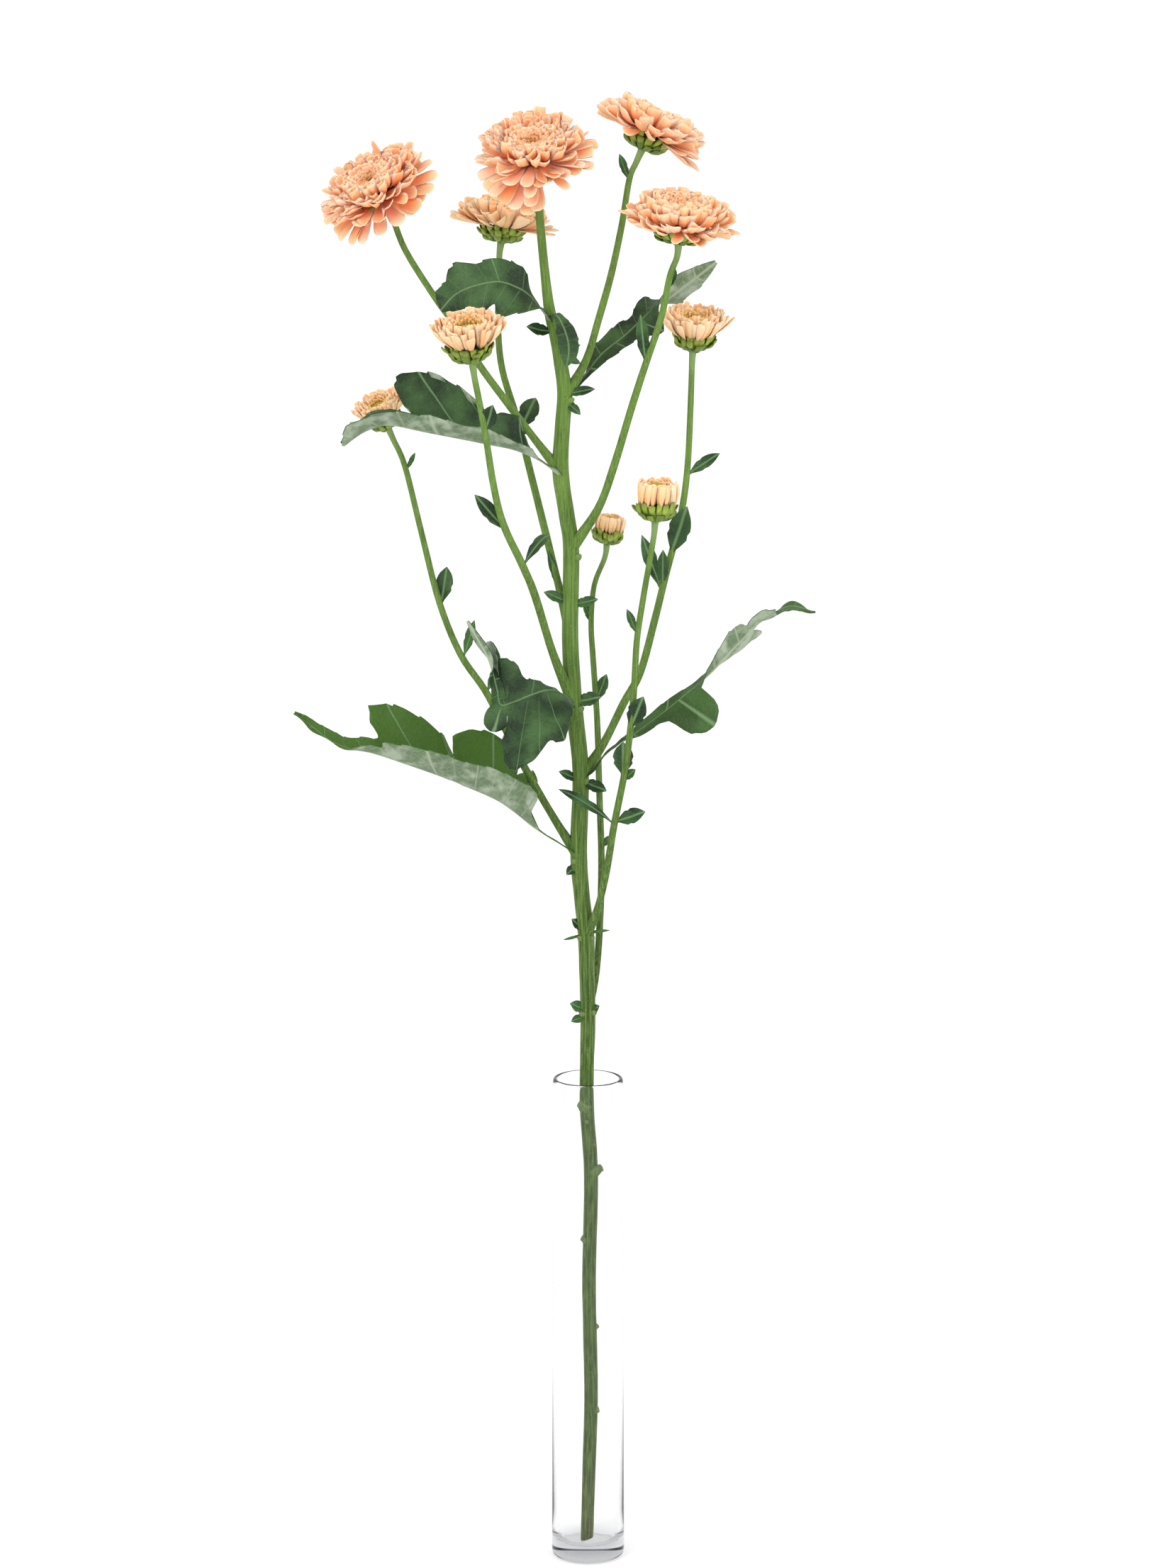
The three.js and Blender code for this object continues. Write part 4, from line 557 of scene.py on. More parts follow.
def stem_skin(stem):
    """Ribbed stem skin: green with pale rib crests and necks, and fine hairs as light dots."""
    skin = new_material("stem_skin")
    coordinates = add(skin, "TexCoord")
    place = coordinates.outputs["Object"]
    height = add(skin, "SeparateXYZ", {0: place}).outputs["Z"]
    share = add(skin, "MapRange", {"Value": height, "From Min": 0.0, "From Max": FRESH_HEIGHT})
    green = add(skin, "ValToRGB", {"Fac": share}, stops=[
        (0.0, stem.bark), (0.1, stem.old), (0.5, stem.old), (0.95, stem.young)])
    patches = add(skin, "TexNoise", {"Vector": place, "Scale": 1 / (14 * MM), "Detail": 3.0})
    neck = add(skin, "Attribute", attribute_name="neck").outputs["Fac"]
    around = add(skin, "SeparateXYZ", {0: coordinates.outputs["UV"]}).outputs["X"]
    # Painted shade: a brown flush darkens the stem's left and right sides, as seen from the front.
    turn = add(skin, "Math", {0: around, 1: 2 * math.pi}, operation="MULTIPLY")
    sides = add(skin, "Math", {0: turn}, operation="SINE")
    side_shade = add(skin, "Math", {0: sides}, operation="ABSOLUTE")
    ribs = add(skin, "Math", {0: around, 1: 2 * math.pi * stem.ribs}, operation="MULTIPLY")
    crest = add(skin, "Math", {0: ribs}, operation="COSINE")
    # Fibres show through the skin as streaks about 0.7 mm apart.
    drawn = add(skin, "Mapping", {"Vector": place, "Scale": (1, 1, 0.05)})
    fibres = add(skin, "TexNoise", {"Vector": drawn, "Scale": 1 / (0.7 * MM), "Detail": 2.0})
    # Hairs are finer than this on the plant: 0.5 mm is the finest that still shows.
    hairs = add(skin, "TexNoise", {"Vector": place, "Scale": 1 / (0.5 * MM), "Detail": 2.0})
    haired = paint(skin, green, (patches, 0.4, 0.7, 0.6, stem.old), (neck, 0, 1, 1, stem.neck),
                   (side_shade, 0.8, 1, 0.5, stem.flush), (crest, 0.1, 1, 0.12, stem.neck),
                   (fibres, 0.42, 0.68, 0.45, stem.fibre), (hairs, 0.6, 0.75, 0.2, stem.hair))
    bump = add(skin, "Bump", {"Height": hairs, "Distance": 0.2 * MM, "Strength": 0.4})
    return finish(skin, {
        "Base Color": haired, "Roughness": 0.55, "Specular IOR Level": 0.2,
        "Subsurface Weight": 0.1, "Subsurface Radius": GREEN_DEPTH, "Subsurface Scale": 1 * MM,
        "Normal": bump})


def leaf_cuticle(leaf):
    """Upper leaf face: dark green cuticle over sunken pale veins, dusted with fine hairs."""
    cuticle = new_material("leaf_cuticle")
    place = add(cuticle, "TexCoord").outputs["Object"]
    patches = add(cuticle, "TexNoise", {"Vector": place, "Scale": 1 / (16 * MM), "Detail": 4.0})
    # How far a leaf is painted yellower, as painted light shining through it from behind.
    fresh = add(cuticle, "Attribute", attribute_name="fresh").outputs["Fac"]
    veins = leaf_veins(cuticle, 0.25, 0.6)
    # Hairs are finer than this on the plant: 0.6 mm is the finest that still shows.
    hairs = add(cuticle, "TexNoise", {
        "Vector": place, "Scale": 1 / (0.6 * MM), "Detail": 4.0, "Roughness": 0.7})
    haired = paint(cuticle, leaf.upper, (patches, 0.4, 0.62, 1, leaf.upper_light),
                   (fresh, 0, 1, 1, leaf.fresh), (veins, 0, 1, 1, leaf.vein),
                   (hairs, 0.5, 0.82, 0.22, leaf.hair))
    net = add(cuticle, "TexVoronoi", {"Vector": place, "Scale": 1 / (3 * MM)},
              feature="DISTANCE_TO_EDGE")
    quilt = add(cuticle, "Bump", {"Height": net, "Distance": 0.6 * MM, "Strength": 0.6})
    bump = add(cuticle, "Bump", {
        "Height": veins, "Distance": 0.5 * MM, "Strength": 0.7, "Normal": quilt}, invert=True)
    return finish(cuticle, {
        "Base Color": haired, "Roughness": 0.5, "Specular IOR Level": 0.25,
        "Subsurface Weight": 0.08, "Subsurface Radius": GREEN_DEPTH, "Subsurface Scale": 1 * MM,
        "Normal": bump})


def leaf_veins(leaf_skin, side_width, midrib_width):
    """How strongly a point lies on the midrib or on a side vein, widths in millimetres."""
    reach = add(leaf_skin, "Attribute", attribute_name="reach").outputs["Fac"]
    phase = add(leaf_skin, "Attribute", attribute_name="phase").outputs["Fac"]
    veins = add(leaf_skin, "MapRange", {
        "Value": reach, "From Min": 0.0, "From Max": midrib_width, "To Min": 1.0, "To Max": 0.0})
    # Strong veins run to the lobes, with a weaker one halfway between two of them.
    for copies, strength in ((1, 1.0), (2, 0.55)):
        turned = add(leaf_skin, "Math", {0: phase, 1: float(copies)}, operation="MULTIPLY")
        apart = add(leaf_skin, "Math", {0: turned, 1: 0.5}, operation="PINGPONG")
        side = add(leaf_skin, "MapRange", {
            "Value": apart, "From Min": 0.0, "From Max": 0.07 * side_width * copies,
            "To Min": strength, "To Max": 0.0})
        veins = add(leaf_skin, "Math", {0: veins, 1: side}, operation="MAXIMUM")
    return veins


def leaf_felt(leaf):
    """Underside of a leaf: grey-green felt of fine hairs over a net of raised pale veins."""
    felt = new_material("leaf_felt")
    place = add(felt, "TexCoord").outputs["Object"]
    # Hairs are finer than this on the plant: 0.9 mm is a tuft of them.
    hairs = add(felt, "TexNoise", {
        "Vector": place, "Scale": 1 / (0.9 * MM), "Detail": 4.0, "Roughness": 0.7})
    patches = add(felt, "TexNoise", {"Vector": place, "Scale": 1 / (9 * MM), "Detail": 3.0})
    net = add(felt, "TexVoronoi", {"Vector": place, "Scale": 1 / (3.5 * MM)},
              feature="DISTANCE_TO_EDGE")
    lines = add(felt, "MapRange", {
        "Value": net, "From Min": 0.0, "From Max": 0.1, "To Min": 0.25, "To Max": 0.0})
    veins = add(felt, "Math", {0: lines, 1: leaf_veins(felt, 0.5, 1.2)}, operation="MAXIMUM")
    veined = paint(felt, leaf.felt_deep, (hairs, 0, 1, 1, leaf.felt),
                   (patches, 0.45, 0.62, 0.8, leaf.felt_pale), (veins, 0, 1, 1, leaf.felt_vein))
    fuzz = add(felt, "Bump", {"Height": hairs, "Distance": 0.3 * MM, "Strength": 0.5})
    bump = add(felt, "Bump", {
        "Height": veins, "Distance": 0.7 * MM, "Strength": 0.9, "Normal": fuzz})
    return finish(felt, {
        "Base Color": veined, "Roughness": 0.85, "Specular IOR Level": 0.3,
        "Sheen Weight": 0.15, "Sheen Roughness": 0.5, "Normal": bump})


def petal_tissue(name, deep, base, body, edge, pink_deep_and_shade, pink, heart):
    """Ray petal tissue: soft and translucent. Deeper orange towards each petal's base is partly its
    own colour and partly painted shade deep in the head; the pale edges are a painted highlight.
    """
    tissue = new_material(name)
    uv = add(tissue, "SeparateXYZ", {0: add(tissue, "TexCoord").outputs["UV"]})
    # Towards its base a petal turns its own deeper orange and also takes painted shade, deep in the
    # head.
    apricot, salmon = [add(tissue, "ValToRGB", {"Fac": uv.outputs["Y"]}, stops=stops)
                       for stops in ([(0.15, deep), (0.5, base), (0.85, body)],
                                     [(0.15, pink_deep_and_shade), (0.55, pink), (0.9, body)])]
    turned, chance, rank = [add(tissue, "Attribute", attribute_name=mark).outputs["Fac"]
                            for mark in ("pink", "chance", "rank")]
    tone = add(tissue, "ValToRGB", {"Fac": chance}, stops=[
        (0.0, pink), (0.3, body), (0.6, body), (1.0, edge)])
    varied = add(tissue, "Mix", {
        "Factor": 0.45, "A": paint(tissue, apricot, (turned, 0, 1, 1, salmon)), "B": tone},
        data_type="RGBA")
    # Twice round the flattened tube: once per edge, where a painted highlight pales both edges.
    # Then veins, about 0.6 mm apart.
    rim, ridge = [add(tissue, "Math", {
        0: add(tissue, "Math", {0: uv.outputs["X"], 1: 2 * math.pi * waves},
               operation="MULTIPLY")}, operation="COSINE") for waves in (2, 20)]
    hearted = paint(tissue, varied, (rim, 0, 1, 0.6, edge), (ridge, 0.2, 1, 0.12, deep),
                    (rank, 0.5, 0.95, 0.85, heart))
    bump = add(tissue, "Bump", {"Height": ridge, "Distance": 0.1 * MM, "Strength": 0.3})
    return finish(tissue, {
        "Base Color": hearted, "Roughness": 0.55, "Specular IOR Level": 0.15,
        "Subsurface Weight": 0.4, "Subsurface Radius": (1.0, 0.6, 0.35),
        "Subsurface Scale": 1 * MM, "Normal": bump})


def floret_tissue(name, base, tip):
    """Disc florets: small matt tubes, with painted shade darkening them down between them."""
    tissue = new_material(name)
    uv = add(tissue, "SeparateXYZ", {0: add(tissue, "TexCoord").outputs["UV"]})
    # Painted shade darkens each floret towards its foot, down between the florets.
    lengthwise = add(tissue, "ValToRGB", {"Fac": uv.outputs["Y"]}, stops=[(0.2, base), (0.9, tip)])
    return finish(tissue, {"Base Color": lengthwise, "Roughness": 0.7, "Subsurface Weight": 0.2,
                           "Subsurface Scale": 1 * MM})


def bract_skin(heads):
    """Calyx bracts: satin scales, dark outside and yellow-green inside, with a dry margin."""
    skin = new_material("bract_skin")
    uv = add(skin, "SeparateXYZ", {0: add(skin, "TexCoord").outputs["UV"]})
    row, chance = [add(skin, "Attribute", attribute_name=mark).outputs["Fac"]
                   for mark in ("rank", "chance")]
    turn = add(skin, "Math", {0: uv.outputs["X"], 1: 4 * math.pi}, operation="MULTIPLY")
    margin = add(skin, "Math", {0: turn}, operation="COSINE")
    margined = paint(
        skin, heads.bract, (row, 0, 1, 1, heads.bract_inner),
        (uv.outputs["Y"], 0.45, 0.95, 0.8, heads.bract_tip),
        (chance, 0, 1, 0.35, heads.bract_inner), (margin, 0.75, 1, 0.5, heads.bract_edge))
    return finish(skin, {
        "Base Color": margined, "Roughness": 0.45, "Specular IOR Level": 0.3,
        "Subsurface Weight": 0.05, "Subsurface Radius": GREEN_DEPTH,
        "Subsurface Scale": 1 * MM})


def opal_acrylic():
    """Opal acrylic of the studio's light table: matt white, lit evenly from below."""
    return finish(new_material("opal_acrylic"), {
        "Base Color": colour("C8C8C8"), "Roughness": 0.9, "Specular IOR Level": 0.0,
        "Emission Color": WHITE, "Emission Strength": 0.38})


# ---------------------------------------------------------------- shaping

def lerp(low, high, share):
    return low + (high - low) * share


def row_at(rows, key):
    """Linear interpolation in rows whose first number rises."""
    upper = min(max(bisect_right([row[0] for row in rows], key), 1), len(rows) - 1)
    low, high = rows[upper - 1], rows[upper]
    share = (key - low[0]) / (high[0] - low[0])
    return [lerp(a, b, share) for a, b in zip(low, high)]


def spline(points, share):
    """The point and the direction at a share of a smooth curve through rows of numbers."""
    along = share * (len(points) - 1)
    start = min(int(along), len(points) - 2)
    t = along - start
    p1, p2 = Vector(points[start]), Vector(points[start + 1])
    p0 = Vector(points[start - 1]) if start else p1 * 2 - p2
    p3 = Vector(points[start + 2]) if start + 2 < len(points) else p2 * 2 - p1
    a, b, c = (p2 - p0) * 0.5, p0 - p1 * 2.5 + p2 * 2 - p3 * 0.5, (p1 - p2) * 1.5 + (p3 - p0) * 0.5
    return p1 + a * t + b * t * t + c * t ** 3, a + b * 2 * t + c * 3 * t * t


def sheet(columns, rows, place):
    """A grid whose point in column i and row j is moved to place(i, j), with its UV map."""
    bm = bmesh.new()
    bm.loops.layers.uv.new("UVMap")
    bmesh.ops.create_grid(bm, x_segments=columns, y_segments=rows, size=0.5, calc_uvs=True)
    for vert in bm.verts:
        i, j = round((vert.co.x + 0.5) * columns), round((vert.co.y + 0.5) * rows)
        vert.co = place(i, j)
    bm.normal_update()
    return bm


def close(bm):
    """Joins the seam of a rolled grid, closes its ends and turns its faces outwards."""
    bmesh.ops.remove_doubles(bm, verts=bm.verts, dist=1e-6)
    bmesh.ops.holes_fill(bm, edges=[edge for edge in bm.edges if edge.is_boundary], sides=0)
    bmesh.ops.recalc_face_normals(bm, faces=bm.faces)
    return bm


def turned(profile, columns, move):
    """A closed shape turned about the upright axis from radii and heights, then moved."""
    def place(i, j):
        radius, height = profile[j]
        angle = 2 * math.pi * i / columns
        return move(Vector((radius * math.cos(angle), radius * math.sin(angle), height)))

    return close(sheet(columns, len(profile) - 1, place))


def thicken(bm, thickness):
    """Gives a sheet its underside, as the second material, without spikes in its folds."""
    verts, faces = list(bm.verts), len(bm.faces)
    bmesh.ops.solidify(bm, geom=list(bm.faces), thickness=thickness)
    bm.verts.ensure_lookup_table()
    bm.faces.ensure_lookup_table()
    for upper, lower in zip(verts, bm.verts[len(verts):]):
        apart = lower.co - upper.co
        if apart.length > LONGEST_SPIKE * thickness:
            lower.co = upper.co + apart.normalized() * thickness
    for face in bm.faces[faces:2 * faces]:
        face.material_index = 1
    bm.normal_update()
    return bm


def template(bm, name):
    """Stores a shape as a mesh that is copied into pieces."""
    mesh = bpy.data.meshes.new(name)
    bm.to_mesh(mesh)
    bm.free()
    return mesh


def add_part(bm, extra):
    """Adds a finished shape to a piece."""
    mesh = template(extra, "part")
    bm.from_mesh(mesh)
    bpy.data.meshes.remove(mesh)
    return bm


def add_copy(bm, mesh, move, marks=None, slot=0):
    """Adds a template whose materials start at a slot, moves its points and marks them."""
    first_vert, first_face = len(bm.verts), len(bm.faces)
    bm.from_mesh(mesh)
    bm.verts.ensure_lookup_table()
    bm.faces.ensure_lookup_table()
    for vert in bm.verts[first_vert:]:
        vert.co = move(vert.co)
        for layer, value in (marks or {}).items():
            vert[layer] = value
    for face in bm.faces[first_face:]:
        face.material_index += slot


def make_piece(bm, name, slot, materials, *nodes):
    """Turns a mesh into a finished piece that stands for its solids."""
    mesh = template(bm, name)
    mesh.polygons.foreach_set("use_smooth", [True] * len(mesh.polygons))
    for material in materials:
        mesh.materials.append(material)
    piece = bpy.data.objects.new(name, mesh)
    bpy.context.scene.collection.objects.link(piece)
    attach(piece, "root")
    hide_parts(*nodes)


# ---------------------------------------------------------------- stems

def stem_points(line, radii, head):
    """A side stem's centre line with radii, up to its head."""
    last = len(line) - 1
    points = [(*point, lerp(*radii, i / last)) for i, point in enumerate(line)]
    points[0] = (*line[0], radii[0] * ROOT_FLARE)
    return points + neck_points(head, radii[1])


def neck_points(head, radius):
    """The end of a stem: in line with its head's axis, and a little way into the calyx."""
    base, axis = Vector(head.base), Vector(head.axis).normalized()
    return [(*(base - axis * NECK), radius), (*(base + axis * 0.6), radius * NECK_FLARE)]


def tube(points, ribs, rib_depth, columns, rows_per_point, slant=0.0, paleness=0.8):
    """A ribbed stem. Its last stretch under the head is marked for the pale neck."""
    rows = (len(points) - 1) * rows_per_point
    stations = []
    for j in range(rows + 1):
        centre, direction = spline(points, j / rows)
        tangent = direction.to_3d().normalized()
        to_back = (BACK - tangent * BACK.dot(tangent)).normalized()
        stations.append((centre.to_3d(), centre[3], to_back, tangent.cross(to_back)))

    def place(i, j):
        centre, radius, first, second = stations[j]
        angle = 2 * math.pi * i / columns
        reach = radius * (1 + rib_depth * math.cos(ribs * angle))
        reach *= 1 + UNEVENNESS * noise.noise(centre * 0.12 + first * math.cos(angle))
        point = centre + first * reach * math.cos(angle) + second * reach * math.sin(angle)
        if j == 0:
            point.z += (point.x - centre.x) * slant
        return point * MM

    bm = close(sheet(columns, rows, place))
    mark = bm.verts.layers.float.new("neck")
    top = Vector(points[-1][:3]) * MM
    for vert in bm.verts:
        vert[mark] = max(0.0, 1 - (vert.co - top).length / (PALE_NECK * MM)) * paleness
    return bm


def at_height(points, height):
    """The point of a rising centre line at a height."""
    upper = next((i for i, p in enumerate(points) if p[2] >= height), len(points) - 1)
    upper = max(upper, 1)
    low, high = Vector(points[upper - 1][:3]), Vector(points[upper][:3])
    return low.lerp(high, (height - low.z) / (high.z - low.z))


def add_knobs(bm, points, rows, shape, ribs, rib_depth, rows_per_point, paleness):
    """Adds short side shoots to a stem, whose shape is shares of their length and radius."""
    for height, direction, length, radius in rows:
        root, heading = at_height(points, height), Vector(direction).normalized()
        knob = [(*(root + heading * length * share), radius * plump) for share, plump in shape]
        add_part(bm, tube(knob, ribs, rib_depth, 12, rows_per_point, paleness=paleness))


# ---------------------------------------------------------------- leaves

def leaflet_template():
    """A small blade with a keel, 1 long and 1 wide, in across, along and up."""
    def place(i, j):
        across, along = i / 3 - 1, j / 12
        width = row_at(LEAFLET_OUTLINE, along)[1]
        keel = abs(across) * 0.3 * width
        return Vector((across * width / 2, along, keel * 0.5 + 0.04 * math.sin(along * 9)))

    bm = sheet(6, 12, place)
    reach, phase = [bm.verts.layers.float.new(name) for name in ("reach", "phase")]
    for vert in bm.verts:
        vert[reach] = abs(vert.co.x) * 6
        vert[phase] = vert.co.y * 5 - abs(vert.co.x) * 2
    return template(thicken(bm, 0.03), "leaflet")


def add_leaflets(bm, mesh, points, rows):
    """Adds leaflets to a stem. Each bends over its length, with its face to the front."""
    for height, direction, length, width, bend in rows:
        root, heading = at_height(points, height), Vector(direction).normalized()
        face = (LIT_FACE - heading * LIT_FACE.dot(heading)).normalized()
        side = heading.cross(face).normalized()

        def move(point):
            turn = math.radians(bend) * point.y
            chord = heading * math.cos(turn / 2) - face * math.sin(turn / 2)
            normal = face * math.cos(turn) + heading * math.sin(turn)
            return (root + chord * (length * point.y) + side * (point.x * width)
                    + normal * (point.z * width)) * MM

        add_copy(bm, mesh, move, slot=1)


def vein_phases(outline, column):
    """A number for each row of a leaf that is whole on the veins that run to the lobes' tips."""
    peaks = [here[0] for before, here, after in zip(outline, outline[1:], outline[2:])
             if here[column] > SMALL_LOBE and before[column] <= here[column] > after[column]]
    marks = [(-0.2, -2.0)] + [(share, float(i)) for i, share in enumerate(peaks)]
    marks.append((1.2, len(peaks) + 2.0))
    return [row_at(marks, j / LEAF_ROWS)[1] for j in range(LEAF_ROWS + 1)]


def large_leaf(shape, thickness, seed):
    """A lobed, toothed leaf folded along its midrib, its lobes swept towards its tip."""
    spine = shape["spine"]
    outline = [row if len(row) == 7 else (*row[:3], shape["sweep"], *row[3:], shape["sweep"])
               for row in shape["outline"]]
    length = sum((Vector(b[:3]) - Vector(a[:3])).length for a, b in zip(spine, spine[1:]))
    phases = {-1: vein_phases(outline, 1), 1: vein_phases(outline, 4)}
    stations = []
    for j in range(LEAF_ROWS + 1):
        share = j / LEAF_ROWS
        place, direction = spline([row[:3] for row in spine], share)
        normal, _ = spline([row[3:] for row in spine], share)
        tangent = direction.normalized()
        normal = (normal - tangent * normal.dot(tangent)).normalized()
        stations.append((place, tangent, normal, tangent.cross(normal), row_at(outline, share)))
    marks = {}

    def place(i, j):
        across = 2 * i / LEAF_COLUMNS - 1
        sign = -1 if across < 0 else 1
        centre, tangent, normal, right, row = stations[j]
        full, fold, sweep = row[1:4] if sign < 0 else row[4:7]
        tooth = (length * j / LEAF_ROWS / TOOTH_SPACING + 0.3 * sign) % 1
        full += (tooth ** 2 - 0.4) * min(TOOTH_DEPTH, 0.09 * full)
        width = abs(across) * full
        along = length * j / LEAF_ROWS + sweep * width
        phase = phases[sign][j]
        marks[(i, j)] = (width, phase + 10 * sign)
        eased = math.radians(fold) * (0.75 + 0.25 * abs(across))
        flat = right * sign * math.cos(eased) + normal * math.sin(eased)
        face = normal * math.cos(eased) - right * sign * math.sin(eased)
        wave = noise.noise(Vector((width * 0.09, along * 0.09, seed))) * WAVE_DEPTH * abs(across)
        valley = VALLEY_DEPTH * math.cos(2 * math.pi * phase) * min(1, width / 4)
        return (centre + flat * width + tangent * sweep * width + face * (wave - valley)) * MM

    bm = sheet(LEAF_COLUMNS, LEAF_ROWS, place)
    reach, phase, fresh = [bm.verts.layers.float.new(name)
                           for name in ("reach", "phase", "fresh")]
    uv = bm.loops.layers.uv.active
    for face in bm.faces:
        for loop in face.loops:
            i, j = round(loop[uv].uv.x * LEAF_COLUMNS), round(loop[uv].uv.y * LEAF_ROWS)
            loop.vert[reach], loop.vert[phase] = marks[(i, j)]
            # Painted light: how much of the yellower green, as of light shining through from
            # behind.
            loop.vert[fresh] = shape.get("fresh", 0)
    thicken(bm, thickness)
    # Where the sheet folds over itself, each side still shows the skin that faces out.
    for face in bm.faces[:2 * LEAF_COLUMNS * LEAF_ROWS]:
        row = min(round(loop[uv].uv.y * LEAF_ROWS) for loop in face.loops)
        face.material_index = 0 if face.normal.dot(stations[row][2]) > 0 else 1
    return bm


# ---------------------------------------------------------------- heads

def head_frame(head):
    """From a head's own millimetres, calyx at 0 and axis up, to the plant's metres."""
    base = Vector(head.base)
    turn = UP.rotation_difference(Vector(head.axis).normalized())
    return lambda point: (base + turn @ point) * MM


def petal_template():
    """A flattened tube with a round tip, 1 long, 1 wide and 1 thick, in across, along, up."""
    def place(i, j):
        angle = math.pi * i / 4
        along = 1 - (1 - j / 7) ** 1.6
        width = row_at(PETAL_OUTLINE, along)[1]
        thin = width if along > 0.8 else 1
        return Vector((math.cos(angle) * width / 2, along, math.sin(angle) * thin / 2))

    return template(close(sheet(8, 7, place)), "petal")


def add_petal(bm, mesh, to_plant, petal, marks):
    """Adds one petal. The bend grows towards the tip, and the cup raises the edges."""
    angle, root_radius, root_height, tilt, bend, length, width, cup, thickness, roll = petal
    outward = Vector((math.cos(angle), math.sin(angle), 0))
    side = Vector((-math.sin(angle), math.cos(angle), 0))
    root = outward * root_radius + UP * root_height

    def move(point):
        across, along, up = point
        here = math.radians(tilt + bend * along ** 2)
        chord = math.radians(tilt + bend * along ** 2 / 3)
        normal = UP * math.sin(here) - outward * math.cos(here)
        turned_side = side * math.cos(roll * along) + normal * math.sin(roll * along)
        curl = (2 * across) ** 2
        lift = up * thickness + cup * width * (0.5 * curl * min(1, along * 2) + 0.4 * along ** 5)
        return to_plant(
            root + (outward * math.sin(chord) + UP * math.cos(chord)) * (length * along)
            + turned_side * (across * width * (1 - 0.25 * cup * curl)) + normal * lift)

    add_copy(bm, mesh, move, marks)


def petal_marks(bm):
    return [bm.verts.layers.float.new(name) for name in ("rank", "chance", "pink")]


def make_petals(head, mesh, chance):
    """All ray petals of a head, set one after another at the golden angle."""
    count, ranks = PETAL_RANKS[head.kind]
    bm = bmesh.new()
    rank_mark, chance_mark, pink_mark = petal_marks(bm)
    to_plant = head_frame(head)
    radius, calyx_height = head.radius, head.calyx_height
    loose = LOOSENESS[head.kind]
    petals = []
    for number in range(count):
        rank = number / (count - 1)
        _, root_radius, root_height, tilt, bend, length, width, cup, fullness = row_at(ranks, rank)
        petals.append((rank, (
            number * GOLDEN_ANGLE + chance.gauss(0, 0.1) * (1.1 - rank),
            root_radius * radius, root_height * radius + calyx_height,
            tilt + loose * chance.gauss(0, 9) * (1.1 - rank),
            bend + loose * chance.uniform(-30, 18), length * radius * chance.uniform(0.84, 1.05),
            width * radius * chance.uniform(0.82, 1.15), cup * chance.uniform(0.6, 1.2),
            fullness * width * radius, loose * chance.gauss(0, 0.45) * (1.2 - rank))))
    for angle, tilt, bend, length, width in LOOSE_PETALS.get(head.name, ()):
        petals.append((0, (
            math.radians(angle), LOOSE_ROOT * radius, calyx_height, tilt, bend,
            length * radius * LOOSE_LENGTH, width * radius, 0.3, 0.5,
            chance.uniform(-0.25, 0.25))))
    for rank, petal in petals:
        marks = {rank_mark: rank, chance_mark: chance.random(), pink_mark: PINK.get(head.name, 0)}
        add_petal(bm, mesh, to_plant, petal, marks)
    bmesh.ops.recalc_face_normals(bm, faces=bm.faces)
    return bm


def make_bracts(head, mesh, chance):
    """The calyx: a cup turned about its axis, under overlapping rows of bracts."""
    radius, height = head.calyx_radius, head.calyx_height
    to_plant = head_frame(head)
    profile = [(CUP_FOOT, 0.2)] + [(radius * wide, height * high) for wide, high in CUP]
    bm = add_part(bmesh.new(), turned(profile, 24, to_plant))
    rank_mark, chance_mark, _ = petal_marks(bm)
    for row, (count, root_radius, root_height, tilt, bend, length, width) in enumerate(BRACT_ROWS):
        for number in range(count):
            petal = (
                2 * math.pi * (number + 0.5 * (row % 2)) / count + chance.uniform(-0.08, 0.08),
                root_radius * radius, root_height * height,
                tilt + BRACT_SPREAD[head.kind] + chance.gauss(0, 6),
                bend + chance.uniform(-10, 24), length * radius * chance.uniform(0.8, 1.15),
                width * radius * chance.uniform(0.85, 1.15), 0.5, 0.5, chance.uniform(-0.3, 0.3))
            add_petal(bm, mesh, to_plant, petal, {rank_mark: row / 3, chance_mark: chance.random()})
    bmesh.ops.recalc_face_normals(bm, faces=bm.faces)
    return bm


def make_florets(head, mesh, chance):
    """A dome of disc florets in the order of a seed head, over its core."""
    count, *dome = FLORET_DOMES[head.kind]
    radius, rise, base = [share * head.radius for share in dome]
    bm = bmesh.new()
    to_plant = head_frame(head)
    size = radius * 1.7 / math.sqrt(count)
    for number in range(count):
        share = math.sqrt((number + 0.5) / count)
        angle = number * GOLDEN_ANGLE
        out = Vector((math.cos(angle), math.sin(angle), 0)) * share
        root = out * radius + UP * (head.calyx_height + base + rise * math.cos(share * 1.4))
        turn = UP.rotation_difference((UP + out * 0.5).normalized())
        tall = size * chance.uniform(1.1, 1.6)
        add_copy(bm, mesh, lambda point: to_plant(root + turn @ Vector((
            point.x * size, point.y * size, (point.z - 0.3) * tall))))
    angles = [j / 5 * 1.5 for j in range(6)]
    core = [(radius * math.cos(angle), head.calyx_height + base - 0.04 * head.radius
             + rise * math.sin(angle)) for angle in angles]
    return add_part(bm, turned(core, 18, to_plant))


def dress_heads(make, mesh, seed, names, slots, materials):
    """Makes a piece for each head: its name and material are the grown or young ones."""
    for number, head in enumerate(HEADS.values()):
        is_young = head.kind in YOUNG_KINDS
        make_piece(make(head, mesh, random.Random(seed + number)), f"{names[0]}_{head.name}",
                   slots[is_young], [materials[is_young]], f"{names[1]}_{head.name}")
    bpy.data.meshes.remove(mesh)


# ---------------------------------------------------------------- operators

